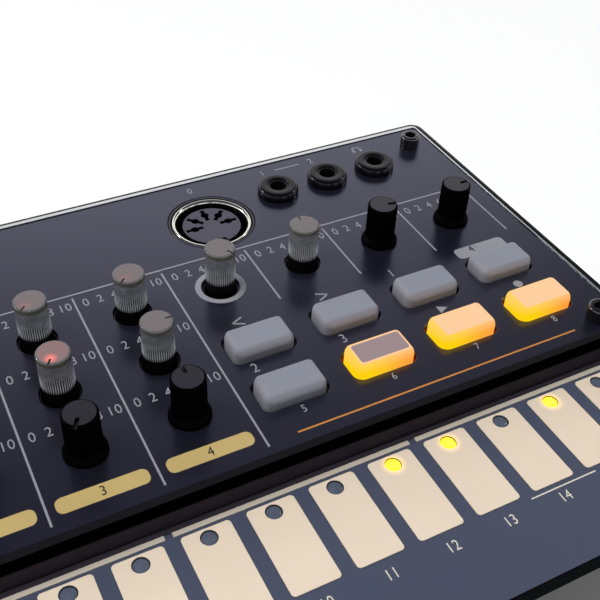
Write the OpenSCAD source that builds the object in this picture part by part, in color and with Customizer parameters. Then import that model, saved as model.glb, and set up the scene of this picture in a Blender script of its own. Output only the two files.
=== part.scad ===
// Compact sixteen-step drum machine, battery powered, for a table top.
// The origin is the middle of the footprint, on the surface it stands on.
// +X is the right-hand side, +Y the rear with the power inlet, +Z is up.

/* [Panel layout] */
// Spacing of the control columns across the panel
col_pitch = 17.8; // [17:0.1:21]
// Case width that is left over beside the ten columns
side_room = 15; // [14:0.5:30]
// Sideways shift of the column grid from the middle
grid_shift = 1.75; // [0:0.25:2]
// Distance from the rear edge to the rear row of knobs
back_room = 36.5; // [36:0.5:45]
// Spacing of the knob rows
row_pitch = 14; // [13:0.5:18]
// Panel depth in front of the front row of knobs
front_room = 13.5; // [13:0.5:20]
// Distance from the rear row of knobs to the rear row of keys
key_room = 17.25; // [16.5:0.25:18]
// Spacing of the two key rows
key_row_pitch = 12.35; // [11.5:0.05:12.5]

/* [Case] */
// Height of the panel above the surface the machine stands on
body_h = 36.5; // [33:0.5:45]
// Depth of the lower step that holds the touch strip
strip_d = 37; // [33:0.5:50]
// Drop from the panel to the touch strip
strip_drop = 6.2; // [4:0.2:7]
// Height of the joint between the case shells
split_h = 12; // [9:0.5:12.5]
// Thickness of the case walls and floor
wall_t = 2; // [1.6:0.1:2.6]
// Width of the rim around the panel and the strip
rim_w = 1.5; // [1:0.1:2]
// Height of the rim above the panel and the strip
rim_lip = 0.2; // [0.1:0.1:0.6]
// Radius of the case's upright corners
corner_r = 2.5; // [1.5:0.5:6]
// Width of the ledge under the edge of the panel
ledge_w = 5; // [4.5:0.1:5.5]
// Thickness of the ledges under the panel and the strip
ledge_t = 2; // [1.5:0.1:2.5]
// Thickness of the top panel
panel_t = 1.2; // [0.8:0.1:1.6]
// Corner radius of the top panel
panel_r = 1; // [0.5:0.1:2]

/* [Knobs] */
// Height of a clear knob's top above the panel
knob_h = 9.5; // [7:0.1:14]
// Diameter of a clear knob
knob_d = 5.8; // [5:0.1:6]
// Height of a black knob's top above the panel
black_knob_h = 9; // [7:0.1:14]
// Diameter of a black knob's grip
black_knob_d = 6; // [5.4:0.1:6.6]
// Diameter of a black knob's skirt
skirt_d = 7.3; // [7:0.1:9]
// Height of a black knob's skirt
skirt_h = 1.4; // [0.8:0.1:2.5]
// Radial clearance between a knob and its collar
knob_gap = 0.25; // [0.15:0.05:0.4]
// Wall of the collar on a potentiometer
collar_t = 0.4; // [0.3:0.05:0.6]
// Width of a potentiometer body
pot_w = 9.8; // [9:0.1:10.5]
// Depth of a potentiometer body
pot_d = 11.2; // [9:0.1:12]
// Height of a potentiometer body
pot_h = 6.8; // [5:0.1:7.5]

/* [Keys] */
// Width of a key
key_w = 11.7; // [9:0.1:12]
// Depth of a key
key_d = 7; // [6:0.1:8.8]
// Height of a key above the panel
key_h = 2.55; // [1.6:0.05:4]
// Corner radius of a key
key_r = 1.6; // [1:0.1:2.5]
// Height of the upright wall of a key above the panel
key_wall = 1.1; // [0.4:0.1:1.2]
// How far the sloping edge of a key draws in
key_slope = 0.95; // [0.4:0.05:1.5]
// Sideways gap between a key and its slot
key_gap_x = 0.65; // [0.3:0.05:0.9]
// Front and rear gap between a key and its slot
key_gap_y = 0.3; // [0.2:0.05:0.5]
// Travel of a key
key_travel = 1; // [0.6:0.1:1.2]

/* [Touch strip] */
// Number of pads
steps = 16; // [8:1:20]
// Width of a pad
pad_w = 8.43; // [6:0.01:9.5]
// Length of a pad
pad_l = 16.8; // [10:0.1:20]
// Distance from the step to the pads
pad_back = 2.75; // [2.3:0.05:5]
// Corner radius of a pad
pad_r = 0.7; // [0.3:0.1:1.5]
// Thickness of the pads and bars on the board
pad_t = 0.2; // [0.1:0.05:0.4]
// Depth of a beat bar
bar_d = 0.9; // [0.4:0.1:0.9]
// Diameter of the lamp opening in a pad
lamp_d = 2.9; // [2.6:0.1:4]
// Distance from a pad's rear end to the lamp
lamp_inset = 1.85; // [1.65:0.05:4]

/* [Sockets] */
// Distance from the right-hand side to the outer audio socket
jack_right = 19.4; // [18:0.1:21]
// Spacing of the audio sockets
jack_pitch = 12.2; // [11.5:0.1:12.6]
// Distance from the rear edge to the audio sockets
jack_back = 12.45; // [11.2:0.05:14]
// Bore of an audio socket
jack_bore = 3.6; // [3.5:0.1:3.8]
// Thread diameter of an audio socket
jack_thread = 6; // [5.4:0.1:7]
// Diameter of an audio socket's nut
nut_d = 8.9; // [8.4:0.1:10.5]
// Height of an audio socket's nut
nut_h = 2; // [1.2:0.1:3]
// Width of an audio socket's body
jack_w = 10; // [8.5:0.1:10.5]
// Distance from the nearest audio socket to the data socket
din_gap_x = 17.5; // [15:0.1:22]
// Distance from the rear edge to the data socket
din_back = 16.5; // [14.5:0.1:17]
// Outer diameter of the data socket's metal ring
din_d = 16.6; // [16:0.1:17.4]
// Wall of the data socket's metal ring
din_wall = 0.8; // [0.5:0.1:1]
// Diameter of the data socket's insulator
din_core_d = 12.2; // [11:0.1:13]
// Gap between the data socket's ring and the panel
din_gap = 0.85; // [0.3:0.05:1]
// Diameter of the circle that the data socket's pins lie on
din_pin_circle = 7.5; // [7:0.1:8]
// Distance from the right-hand side to the power inlet
inlet_right = 44.5; // [42:0.5:50]
// Bore of the power inlet
inlet_bore = 5.6; // [5.5:0.1:6.5]
// Distance from the right-hand side to the power button
power_right = 22.5; // [20:0.5:28]
// Width of the power button
power_w = 8.4; // [7:0.1:10]
// Height of the power button
power_h = 5.4; // [4:0.1:6]
// Travel of the power button
power_travel = 2; // [1:0.1:2]

/* [Inside] */
// Clear height between the main board and the panel
stack_h = 8; // [7.2:0.1:10]
// Thickness of the circuit boards
board_t = 1.6; // [1:0.1:1.6]
// Diameter of a battery cell
cell_d = 14.5; // [13.5:0.1:14.8]
// Length of a battery cell
cell_l = 50.5; // [44:0.5:60]
// Distance from the middle of the case to the middle of the battery bay
bay_front = 15; // [13:0.5:17]
// Thickness of the battery door
door_t = 1.7; // [1.4:0.1:1.8]
// Diameter of the loudspeaker
speaker_d = 36; // [28:1:38]
// Height of the loudspeaker
speaker_h = 15; // [12:0.5:16]
// Height that the feet lift the case
foot_h = 1.5; // [1:0.1:2.5]
// Diameter of a foot
foot_d = 10; // [7:0.5:14]
// Diameter of a panel screw's head
cap_d = 4.4; // [3.6:0.1:5]
// Height of a panel screw's head
cap_h = 3.1; // [1.6:0.1:4]
// Thread diameter of the case screws
screw_d = 2.3; // [1.8:0.1:2.6]
// Radius of the screw posts in the case
post_r = 3.3; // [2.8:0.1:3.5]
// Clearance between separate pieces
fit = 0.3; // [0.2:0.05:0.35]

/* [Hidden] */
$fn = 48;
eps = 0.01;
columns = 10;

// Battery bay, in the lower shell
cells_per_row = 3;
contact_room = 4;
latch_room = 3.2;
bay_wall = 1.5;
door_edge = 2.5;
bay_half = cells_per_row * cell_l / 2 + contact_room;
bay_depth = 2 * cell_d + 3 * fit + latch_room;
bay_border = door_edge + fit + bay_wall;
post_in = 7;

// Overall sizes: the case is as wide as its controls or its battery bay needs
grid_w = columns * col_pitch;
case_w = max(grid_w + side_room, 2 * (bay_half + bay_border + fit + post_r + post_in));
flange_edge = 1;
knob_panel_d = back_room + 2 * row_pitch + front_room;
key_panel_d = back_room + key_room + key_row_pitch + key_d / 2 + flange_edge + fit + ledge_w;
panel_d = max(knob_panel_d, key_panel_d);
case_d = panel_d + strip_d;
side_x = case_w / 2;
back_y = case_d / 2;
front_y = -case_d / 2;
panel_front = back_y - panel_d;
step_y = panel_front - rim_w;
strip_top = body_h - strip_drop;

// Heights inside the case
panel_under = body_h - panel_t;
ledge_under = panel_under - ledge_t;
board_top = panel_under - stack_h;
board_under = board_top - board_t;
strip_under = strip_top - board_t;
strip_ledge_under = strip_under - ledge_t;
floor_top = foot_h + wall_t;
pot_top = board_top + pot_h;

// Places of the controls
function col_x(column) = grid_shift - grid_w / 2 + (column + 0.5) * col_pitch;
function row_y(row) = back_y - back_room - row * row_pitch;
function key_x(column) = col_x(6 + column);
function key_y(row) = row_y(0) - key_room - row * key_row_pitch;
clear_knobs = [[4, 0], [4, 1], [5, 0], [5, 1], [6, 0], [7, 0], [3, 0], [3, 1], [2, 0], [2, 1], [1, 0]];
black_knobs = [[4, 2], [5, 2], [8, 0], [9, 0], [3, 2], [2, 2], [0, 0]];
knob_bore_r = knob_d / 2 + knob_gap;
collar_gap = 0.05;
knob_hole_r = knob_bore_r + collar_t + collar_gap;
pot_floor = 1.6;
knob_foot = board_top + pot_floor + fit;

// Screw places
post_back = 8;
post_front = 3.5;
strip_post = 6.5;
panel_posts = [for (sx = [-1, 1]) for (y = [back_y - post_back, panel_front + post_front])
    [sx * (side_x - post_in), y]];
strip_posts = [for (sx = [-1, 1]) [sx * (side_x - post_in), front_y + strip_post]];
standoff_r = 2.2;
standoff_rear = 12;
standoff_front = 6;
standoff_clear = 0.8;
function line_x(column) = col_x(column) - col_pitch / 2;
standoff_key_x = key_x(0) - key_w / 2 - flange_edge - standoff_r - standoff_clear;
standoff_places = concat(
    [for (x = [line_x(1), line_x(5), line_x(9)]) [x, row_y(0) + standoff_rear]],
    [for (x = [line_x(1), line_x(4), standoff_key_x]) [x, row_y(2) - standoff_front]]);

// Touch strip
pad_pitch = grid_w / steps;
strip_w = case_w - 2 * rim_w - 2 * fit;
pad_y = step_y - pad_back - pad_l / 2;
lamp_y = pad_y + pad_l / 2 - lamp_inset;
bar_gap = 0.6;
bar_y = pad_y + pad_l / 2 + bar_gap + bar_d / 2;
window_edge = 0.5;
strip_window_back = lamp_y + lamp_d / 2 + window_edge;
function pad_x(i) = (i - (steps - 1) / 2) * pad_pitch;

// Key stack
flange_t = 1.2;
flange_top = panel_under - fit;
flange_under = flange_top - flange_t;
mat_t = 1;
mat_top = flange_under - key_travel - fit;
tact_h = 3.1;
plunger_h = 0.5;
plunger_top = board_top + tact_h + plunger_h;
stem_under = plunger_top + key_travel + fit;
stem_r = 1.5;

// Sockets
function jack_x(i) = side_x - jack_right - i * jack_pitch;
jack_y = back_y - jack_back;
jack_l = 11;
jack_corner = 0.8;
thread_drop = 0.3;
jack_thread_h = nut_h - thread_drop;
din_x = jack_x(2) - din_gap_x;
din_y = back_y - din_back;
din_floor = 2;
rear_inner = back_y - wall_t;
inlet_x = side_x - inlet_right;
inlet_w = 9.5;
inlet_l = 13.5;
inlet_h = 9.6;
inlet_z = board_under - inlet_h / 2;
nose_wall = 1.2;
nose_d = inlet_bore + 2 * nose_wall;
power_x = side_x - power_right;
power_drop = 4;
power_z = board_under - power_drop;

// Heights and places in the battery bay
bay_back = -bay_front + bay_depth / 2;
cell_z = foot_h + door_t + 2 * fit + cell_d / 2;
bay_roof = cell_z + cell_d / 2 + fit;
door_back = bay_back + door_edge;
door_front = bay_back - bay_depth - door_edge;
speaker_x = (col_x(1) + col_x(2)) / 2;
speaker_y = (bay_back + rear_inner) / 2;

// A flat rectangle with round corners
module rounded(w, d, r) {
    square([w - 2 * r, d], center = true);
    square([w, d - 2 * r], center = true);
    for (sx = [-1, 1]) for (sy = [-1, 1])
        translate([sx * (w / 2 - r), sy * (d / 2 - r)]) circle(r);
}

// The same rectangle between two limits in y
module span(w, y0, y1, r) {
    translate([0, (y0 + y1) / 2]) rounded(w, y1 - y0, r);
}

// A block that stands between two heights
module slab(z0, z1) {
    translate([0, 0, z0]) linear_extrude(z1 - z0) children();
}

module at(places) {
    for (p = places) translate([p.x, p.y, 0]) children();
}

module at_keys() {
    for (column = [0:3]) for (row = [0, 1]) translate([key_x(column), key_y(row), 0]) children();
}

module at_jacks() {
    for (i = [0:2]) translate([jack_x(i), jack_y, 0]) children();
}

module at_knobs(knobs) {
    for (k = knobs) translate([col_x(k[0]), row_y(k[1]), 0]) children();
}

module panel_outline(gap = 0) {
    span(case_w - 2 * rim_w + 2 * gap, panel_front - gap, back_y - rim_w + gap, panel_r);
}

module top_panel() {
    color("#32323c") difference() {
        slab(panel_under, body_h) panel_outline();
        at_knobs(concat(clear_knobs, black_knobs))
            slab(panel_under - eps, body_h + eps) circle(knob_hole_r);
        at_keys() slab(panel_under - eps, body_h + eps)
            rounded(key_w + 2 * key_gap_x, key_d + 2 * key_gap_y, key_r + key_gap_y);
        translate([din_x, din_y, 0])
            slab(panel_under - eps, body_h + eps) circle(din_d / 2 + din_gap);
        at_jacks() slab(panel_under - eps, body_h + eps) circle(jack_thread / 2 + fit / 2);
        at(panel_posts) slab(panel_under - eps, body_h + eps) circle(screw_d / 2 + fit / 2);
    }
}

past = 1;
step_r = 0.5;

module raised_outline() {
    span(case_w, step_y, back_y, corner_r);
    span(case_w, step_y, step_y + 2 * corner_r, step_r);
}

// Room beside the ledges for the sockets and keys that hang below the panel
module ledge_relief() {
    at_jacks() slab(ledge_under - past, panel_under)
        rounded(jack_w + 2 * fit, jack_l + 2 * fit, jack_corner);
    at_keys() slab(ledge_under - past, panel_under)
        rounded(key_w + 2 * (flange_edge + fit), key_d + 2 * (flange_edge + fit), key_r);
}

// Openings in the upper shell for the panel, the strip and the rear sockets
module upper_cuts() {
    inner_w = case_w - 2 * wall_t;
    window_w = case_w - 2 * rim_w - 2 * ledge_w;
    slab(panel_under, body_h + past) panel_outline(fit / 2);
    slab(ledge_under - past, body_h)
        span(window_w, panel_front + ledge_w, back_y - rim_w - ledge_w, panel_r);
    slab(split_h - past, ledge_under) span(inner_w, step_y + wall_t, rear_inner, panel_r);
    slab(split_h - past, strip_ledge_under) span(inner_w, front_y + wall_t, rear_inner, panel_r);
    slab(strip_under, body_h) span(strip_w + 2 * fit, front_y + rim_w, step_y, panel_r);
    slab(strip_under, strip_top + past) span(strip_w + 2 * fit, step_y - 2 * panel_r, step_y, eps);
    slab(strip_ledge_under - past, strip_top)
        span(window_w, front_y + rim_w + ledge_w, strip_window_back, panel_r);
    ledge_relief();
    translate([inlet_x, rear_inner - past, inlet_z])
        rotate([-90, 0, 0]) cylinder(d = nose_d + 2 * fit, h = wall_t + 2 * past);
    translate([power_x, rear_inner - past, power_z])
        rotate([-90, 0, 0]) slab(0, wall_t + 2 * past)
            rounded(power_w + 2 * fit, power_h + 2 * fit, button_r);
}

module upper_case() {
    color("#101014") difference() {
        union() {
            difference() {
                union() {
                    slab(split_h, strip_top + rim_lip) span(case_w, front_y, back_y, corner_r);
                    slab(split_h, body_h + rim_lip) raised_outline();
                }
                upper_cuts();
            }
            at(panel_posts) slab(split_h, panel_under) circle(post_r);
            at(strip_posts) slab(split_h, strip_under) circle(post_r);
        }
        at(panel_posts) slab(split_h - eps, panel_under + eps) circle(screw_d / 2);
        at(strip_posts) slab(split_h - eps, strip_ledge_under) circle(screw_d / 2);
    }
}

module grille_slots() {
    slot_pitch = 3;
    slot_w = 1.4;
    field_r = speaker_d / 2 - slot_w - fit;
    reach = floor((field_r - slot_w) / slot_pitch);
    for (i = [-reach:reach])
        translate([speaker_x + i * slot_pitch, speaker_y])
            square([slot_w, 2 * sqrt(pow(field_r, 2) - pow(i * slot_pitch, 2))], center = true);
}

bay_r = 0.5;

module bay_outline(grow = 0) {
    span(2 * bay_half + 2 * grow, bay_back - bay_depth - grow, bay_back + grow, bay_r + grow);
}

foot_sink = 1;
foot_in = 18;
foot_edge = 5;
feet = [for (sx = [-1, 1]) for (sy = [-1, 1])
    [sx * (side_x - foot_in), sy * (back_y - foot_d / 2 - foot_edge)]];
head_sink = 3.5;
case_head_r = 2.2;
screw_places = concat(panel_posts, strip_posts);

module lower_case() {
    color("#15151a") difference() {
        union() {
            difference() {
                slab(foot_h, split_h) span(case_w, front_y, back_y, corner_r);
                slab(floor_top, split_h + past)
                    span(case_w - 2 * wall_t, front_y + wall_t, rear_inner, panel_r);
            }
            slab(floor_top - eps, bay_roof + bay_wall) bay_outline(bay_wall);
            slab(floor_top - eps, floor_top + bay_wall) bay_outline(bay_border);
            at(screw_places) slab(floor_top - eps, split_h) circle(post_r);
            at(feet) slab(floor_top - eps, floor_top + foot_sink) circle(foot_d / 2 + wall_t);
        }
        slab(foot_h - eps, bay_roof) bay_outline();
        slab(foot_h - eps, floor_top) span(2 * bay_half + 2 * door_edge + 2 * fit,
            door_front - fit, door_back + fit, door_r + fit);
        slab(foot_h - eps, floor_top + past) grille_slots();
        at(feet) slab(foot_h - eps, foot_h + foot_sink) circle(foot_d / 2 + fit / 2);
        at(screw_places) {
            slab(foot_h - eps, split_h + eps) circle(screw_d / 2 + fit / 2);
            slab(foot_h - eps, foot_h + head_sink) circle(case_head_r + fit / 2);
        }
    }
}

module main_board() {
    board_edge = 1;
    color("#1d5a3a") difference() {
        slab(board_under, board_top) span(case_w - 2 * (wall_t + board_edge),
            step_y + wall_t + board_edge, rear_inner - board_edge, board_edge);
        at(panel_posts) slab(board_under - eps, board_top + eps) circle(post_r + 2 * fit);
        at(standoff_places) slab(board_under - eps, board_top + eps) circle(screw_d / 2 + fit / 2);
        at_jacks() slab(board_under - eps, board_top + eps) circle(jack_bore / 2 + fit);
    }
}

module strip_board() {
    color("#474c68") difference() {
        slab(strip_under, strip_top) span(strip_w, front_y + rim_w + fit, step_y - fit, panel_r);
        for (i = [0:steps - 1]) translate([pad_x(i), lamp_y, 0])
            slab(strip_under - eps, strip_top + eps) circle(lamp_d / 2);
    }
}

module touch_pads() {
    color("#e0ccb6") for (i = [0:steps - 1]) difference() {
        translate([pad_x(i), pad_y, 0]) slab(strip_top, strip_top + pad_t) rounded(pad_w, pad_l, pad_r);
        translate([pad_x(i), lamp_y, 0])
            slab(strip_top - eps, strip_top + pad_t + eps) circle(lamp_d / 2);
    }
}

module beat_bars() {
    beat = 4;
    bar_w = beat * pad_pitch - (pad_pitch - pad_w) / 2;
    color("#cdbfae") for (i = [0:steps / beat - 1])
        translate([pad_x(beat * i) + (beat - 1) * pad_pitch / 2, bar_y, 0])
            slab(strip_top, strip_top + pad_t) square([bar_w, bar_d], center = true);
}

module step_leds() {
    lens_gap = 0.15;
    lens_lip = 0.4;
    lip_t = 1.4;
    lens_r = lamp_d / 2 - lens_gap;
    color("#ffe800") for (i = [0:steps - 1]) translate([pad_x(i), lamp_y, 0]) {
        slab(strip_under - lip_t, strip_top) circle(lens_r);
        slab(strip_under - lip_t, strip_under) circle(lens_r + lens_lip);
    }
}

led_h = 1;

module key_leds() {
    led_w = 2;
    led_d = 1.6;
    led_in = 1;
    color("#ffb040") at_keys() translate([key_w / 2 - led_in, 0, 0])
        slab(board_top, board_top + led_h) square([led_w, led_d], center = true);
}

module knob_leds() {
    led_r = 1;
    color("#e04030") at_knobs(clear_knobs) slab(board_top, board_top + led_h) circle(led_r);
}

module pot_bodies() {
    lamp_bore_r = 1.5;
    collar_drop = 0.5;
    color("#181818") at_knobs(concat(clear_knobs, black_knobs)) difference() {
        union() {
            slab(board_top, pot_top) square([pot_w, pot_d], center = true);
            slab(pot_top - eps, body_h - collar_drop) circle(knob_bore_r + collar_t);
        }
        slab(board_top + pot_floor, body_h) circle(knob_bore_r);
        slab(board_top - eps, body_h) circle(lamp_bore_r);
    }
}

module tact_switches() {
    tact_w = 6;
    plunger_r = 1.7;
    color("#3a3a3e") at_keys() {
        slab(board_top, board_top + tact_h) square(tact_w, center = true);
        slab(board_top, plunger_top) circle(plunger_r);
    }
}

module key_mat() {
    mat_edge = 0.5;
    mat_r = 2;
    mat_post_r = 1.5;
    color("#b9bec4") difference() {
        union() {
            slab(mat_top - mat_t, mat_top)
                translate([(key_x(0) + key_x(3)) / 2, (key_y(0) + key_y(1)) / 2])
                    rounded(key_x(3) - key_x(0) + key_w + 2 * mat_edge,
                        key_row_pitch + key_d + 2 * mat_edge, mat_r);
            for (column = [0:2]) for (row = [0, 1])
                translate([key_x(column) + col_pitch / 2, key_y(row), 0])
                    slab(board_top, mat_top - mat_t + eps) circle(mat_post_r);
        }
        at_keys() slab(mat_top - mat_t - eps, mat_top + eps) circle(stem_r + 2 * fit);
    }
}

module midi_shell() {
    din_drop = 0.1;
    color("#d8d8dc") translate([din_x, din_y, 0]) difference() {
        slab(board_top, body_h - din_drop) circle(din_d / 2);
        slab(board_top - eps, body_h) circle(din_d / 2 - din_wall);
    }
}

pin_angles = [for (i = [0:4]) i * 45];

module at_pins() {
    translate([din_x, din_y, 0]) for (a = pin_angles) rotate([0, 0, a])
        translate([din_pin_circle / 2, 0, 0]) children();
}

module midi_insert() {
    core_drop = 0.9;
    core_top = body_h - core_drop;
    pin_hole_r = 0.95;
    notch_w = 2.6;
    notch_l = 2.4;
    color("#6a6a70") difference() {
        translate([din_x, din_y, 0]) {
            slab(board_top, board_top + din_floor) circle(din_d / 2 - din_wall);
            slab(board_top, core_top) circle(din_core_d / 2);
        }
        at_pins() slab(board_top - eps, core_top + past) circle(pin_hole_r);
        translate([din_x, din_y - din_core_d / 2, 0])
            slab(board_top + din_floor, core_top + past) square([notch_w, notch_l], center = true);
    }
}

module midi_contacts() {
    pin_r = 0.9;
    pin_bore_r = 0.72;
    pin_floor = 1;
    pin_drop = 3;
    color("#c9b36a") at_pins() difference() {
        slab(board_top, panel_under - pin_drop) circle(pin_r);
        slab(board_top + pin_floor, panel_under) circle(pin_bore_r);
    }
}

module jack_bodies() {
    color("#202024") at_jacks() difference() {
        union() {
            slab(board_top, panel_under) rounded(jack_w, jack_l, jack_corner);
            slab(panel_under - eps, body_h + jack_thread_h) circle(jack_thread / 2);
        }
        slab(board_top - eps, body_h + jack_thread_h + eps) circle(jack_bore / 2);
    }
}

module jack_nuts() {
    bevel = 0.6;
    thread_gap = 0.05;
    color("#0c0c0e") at_jacks() difference() {
        union() {
            slab(body_h, body_h + nut_h - bevel) circle(nut_d / 2);
            translate([0, 0, body_h + nut_h - bevel])
                cylinder(r1 = nut_d / 2, r2 = nut_d / 2 - bevel, h = bevel);
        }
        slab(body_h - eps, body_h + nut_h + eps) circle(jack_thread / 2 + thread_gap);
    }
}

module dc_jack() {
    inlet_depth = 11;
    inlet_pin_d = 2;
    pin_root = 0.5;
    pin_drop = 1.5;
    nose_root = 1;
    color("#1a1a1c") translate([inlet_x, 0, 0]) {
        difference() {
            union() {
                slab(board_under - inlet_h, board_under)
                    translate([0, rear_inner - fit - inlet_l / 2]) square([inlet_w, inlet_l], center = true);
                translate([0, rear_inner - fit - nose_root, inlet_z])
                    rotate([-90, 0, 0]) cylinder(d = nose_d, h = wall_t + nose_root);
            }
            translate([0, back_y - inlet_depth, inlet_z])
                rotate([-90, 0, 0]) cylinder(d = inlet_bore, h = inlet_depth + past);
        }
        translate([0, back_y - inlet_depth - pin_root, inlet_z])
            rotate([-90, 0, 0]) cylinder(d = inlet_pin_d, h = inlet_depth + pin_root - pin_drop);
    }
}

// The button's stem reaches into the switch, and its flange stays behind the wall
button_r = 0.8;
button_flange = 1.2;
button_edge = 0.8;
stem_w = 4;
stem_h = 3;
stem_bite = 1;
switch_l = 9;
button_root = rear_inner - fit - button_flange;
switch_rear = button_root - power_travel - fit;

module power_switch() {
    switch_w = 10;
    switch_h = 8;
    hollow_spare = 1.5;
    hollow = power_travel + stem_bite + hollow_spare;
    color("#3a3a3e") translate([power_x, 0, 0]) difference() {
        slab(board_under - switch_h, board_under)
            translate([0, switch_rear - switch_l / 2]) square([switch_w, switch_l], center = true);
        translate([0, switch_rear - hollow / 2 + eps, power_z])
            cube([stem_w + 2 * fit, hollow, stem_h + 2 * fit], center = true);
    }
}

module power_button() {
    button_drop = 0.2;
    stem_l = button_root - switch_rear + stem_bite + eps;
    color("#28282c") translate([power_x, 0, power_z]) {
        translate([0, button_root, 0]) rotate([-90, 0, 0]) {
            slab(0, back_y - button_drop - button_root) rounded(power_w, power_h, button_r);
            slab(0, button_flange)
                rounded(power_w + 2 * button_edge, power_h + 2 * button_edge, button_r);
        }
        translate([0, button_root + eps - stem_l / 2, 0]) cube([stem_w, stem_l, stem_h], center = true);
    }
}

cell_rows = [for (i = [0, 1]) bay_back - fit - cell_d / 2 - i * (cell_d + fit)];

module batteries() {
    nub_h = 1.2;
    nub_d = 5.5;
    color("#7d8590") for (row = [0, 1]) for (i = [-1:1])
        translate([i * (cell_l + eps), cell_rows[row], cell_z])
            rotate([0, row == 0 ? 90 : -90, 0]) {
                translate([0, 0, -cell_l / 2]) cylinder(d = cell_d, h = cell_l - nub_h);
                translate([0, 0, cell_l / 2 - nub_h - eps]) cylinder(d = nub_d, h = nub_h);
            }
}

plate_t = 0.5;
plate_edge = 1;
cells_end = cells_per_row * (cell_l + eps) / 2;

module battery_plates() {
    plate_w = cell_d - 2 * plate_edge;
    color("#c8c8cc") for (row = [0, 1]) for (sx = [-1, 1])
        translate([sx * (bay_half - plate_t / 2), cell_rows[row], cell_z])
            cube([plate_t, plate_w, plate_w], center = true);
}

// A spring's wire runs from the end plate to the flat end of the last cell
spring_turns = 3;
spring_rings = spring_turns * 14;
wire_r = 0.4;
wire_sides = 8;
coil_root_r = 4.5;
coil_tip_r = 3;
spring_run = bay_half - plate_t - cells_end - 2 * wire_r;
function wire_point(k, a) =
    let (t = k / spring_rings, turn = 360 * spring_turns * t,
        coil_r = coil_root_r + (coil_tip_r - coil_root_r) * t, r = coil_r + wire_r * cos(a))
    [wire_r + spring_run * t + wire_r * sin(a), r * cos(turn), r * sin(turn)];

module battery_spring() {
    points = [for (k = [0:spring_rings]) for (s = [0:wire_sides - 1])
        wire_point(k, -s * 360 / wire_sides)];
    sides = [for (k = [0:spring_rings - 1]) for (s = [0:wire_sides - 1])
        let (a = k * wire_sides + s, b = k * wire_sides + (s + 1) % wire_sides)
        [a, b, b + wire_sides, a + wire_sides]];
    last = spring_rings * wire_sides;
    caps = [[for (s = [wire_sides - 1:-1:0]) s], [for (s = [0:wire_sides - 1]) last + s]];
    polyhedron(points, concat(sides, caps), convexity = 6);
}

module battery_springs() {
    color("#c8c8cc") for (row = [0, 1])
        translate([(row == 0 ? -1 : 1) * (bay_half - plate_t), cell_rows[row], cell_z])
            rotate([0, 0, row == 0 ? 0 : 180]) battery_spring();
}

door_r = 0.7;

module battery_door() {
    latch_w = 14;
    latch_h = 5;
    latch_t = 1.2;
    latch_in = 1.7;
    groove_w = 0.8;
    groove_depth = 0.6;
    groove_in = 4;
    color("#18181d") difference() {
        union() {
            slab(foot_h, foot_h + door_t)
                span(2 * (bay_half + door_edge), door_front, door_back, door_r);
            slab(foot_h + door_t - eps, foot_h + door_t + latch_h)
                translate([0, bay_back - bay_depth + latch_in]) square([latch_w, latch_t], center = true);
        }
        slab(foot_h - eps, foot_h + groove_depth) for (i = [0:4])
            translate([0, door_front + groove_in + 2 * groove_w * i])
                square([latch_w, groove_w], center = true);
    }
}

cone_edge = 3;
speaker_rim_h = 3;

module speaker_frame() {
    magnet_h = 6;
    shoulder = 2;
    basket_wall = 1;
    frame_z = floor_top + speaker_rim_h;
    magnet_z = floor_top + speaker_h - magnet_h;
    basket_h = magnet_z - frame_z;
    throat_r = speaker_d / 4;
    color("#55565a") translate([speaker_x, speaker_y, 0]) {
        difference() {
            union() {
                slab(floor_top, frame_z) circle(speaker_d / 2);
                translate([0, 0, frame_z - eps])
                    cylinder(r1 = speaker_d / 2 - shoulder, r2 = throat_r + basket_wall, h = basket_h);
            }
            slab(floor_top - eps, frame_z) circle(speaker_d / 2 - cone_edge);
            translate([0, 0, frame_z - eps])
                cylinder(r1 = speaker_d / 2 - cone_edge - fit, r2 = throat_r, h = basket_h - basket_wall);
        }
        slab(magnet_z - basket_wall, floor_top + speaker_h) circle(throat_r + shoulder);
    }
}

module speaker_cone() {
    cone_t = 0.5;
    cone_h = 3.8;
    dome_drop = 1;
    edge_z = floor_top + speaker_rim_h - cone_t - fit;
    voice_r = speaker_d / 4 - cone_edge;
    top_z = edge_z + cone_h;
    color("#2b2b2e") translate([speaker_x, speaker_y, 0]) rotate_extrude() polygon([
        [speaker_d / 2 - cone_edge, edge_z], [speaker_d / 2 - cone_edge, edge_z + cone_t],
        [voice_r, top_z + cone_t], [0, top_z - dome_drop + cone_t],
        [0, top_z - dome_drop], [voice_r, top_z]]);
}

module rubber_feet() {
    color("#232326") at(feet) slab(0, foot_h + foot_sink) circle(foot_d / 2);
}

module cap_screw() {
    shank = 10;
    recess_depth = 1.6;
    recess_r = 1.25;
    difference() {
        slab(body_h, body_h + cap_h) circle(cap_d / 2);
        slab(body_h + cap_h - recess_depth, body_h + cap_h + eps) circle(recess_r, $fn = 6);
    }
    slab(body_h - shank, body_h + eps) circle(screw_d / 2);
}

module panel_screws() {
    color("#121214") at(panel_posts) cap_screw();
}

module case_screws() {
    head_h = 1.6;
    reach = 7;
    color("#303034") at(screw_places) {
        slab(foot_h + head_sink - head_h, foot_h + head_sink) circle(case_head_r);
        slab(foot_h + head_sink - eps, split_h + reach) circle(screw_d / 2);
    }
}

module standoffs() {
    end_t = 1.5;
    color("#c4a45a") at(standoff_places) difference() {
        slab(board_top, panel_under) circle(standoff_r, $fn = 6);
        slab(board_top - eps, panel_under - end_t) circle(screw_d / 2);
    }
}

module board_screws() {
    head_r = 2;
    head_h = 1.4;
    reach = 5;
    color("#b8b8bc") at(standoff_places) {
        slab(board_under - head_h, board_under) circle(head_r);
        slab(board_under - eps, board_top + reach) circle(screw_d / 2);
    }
}

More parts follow.
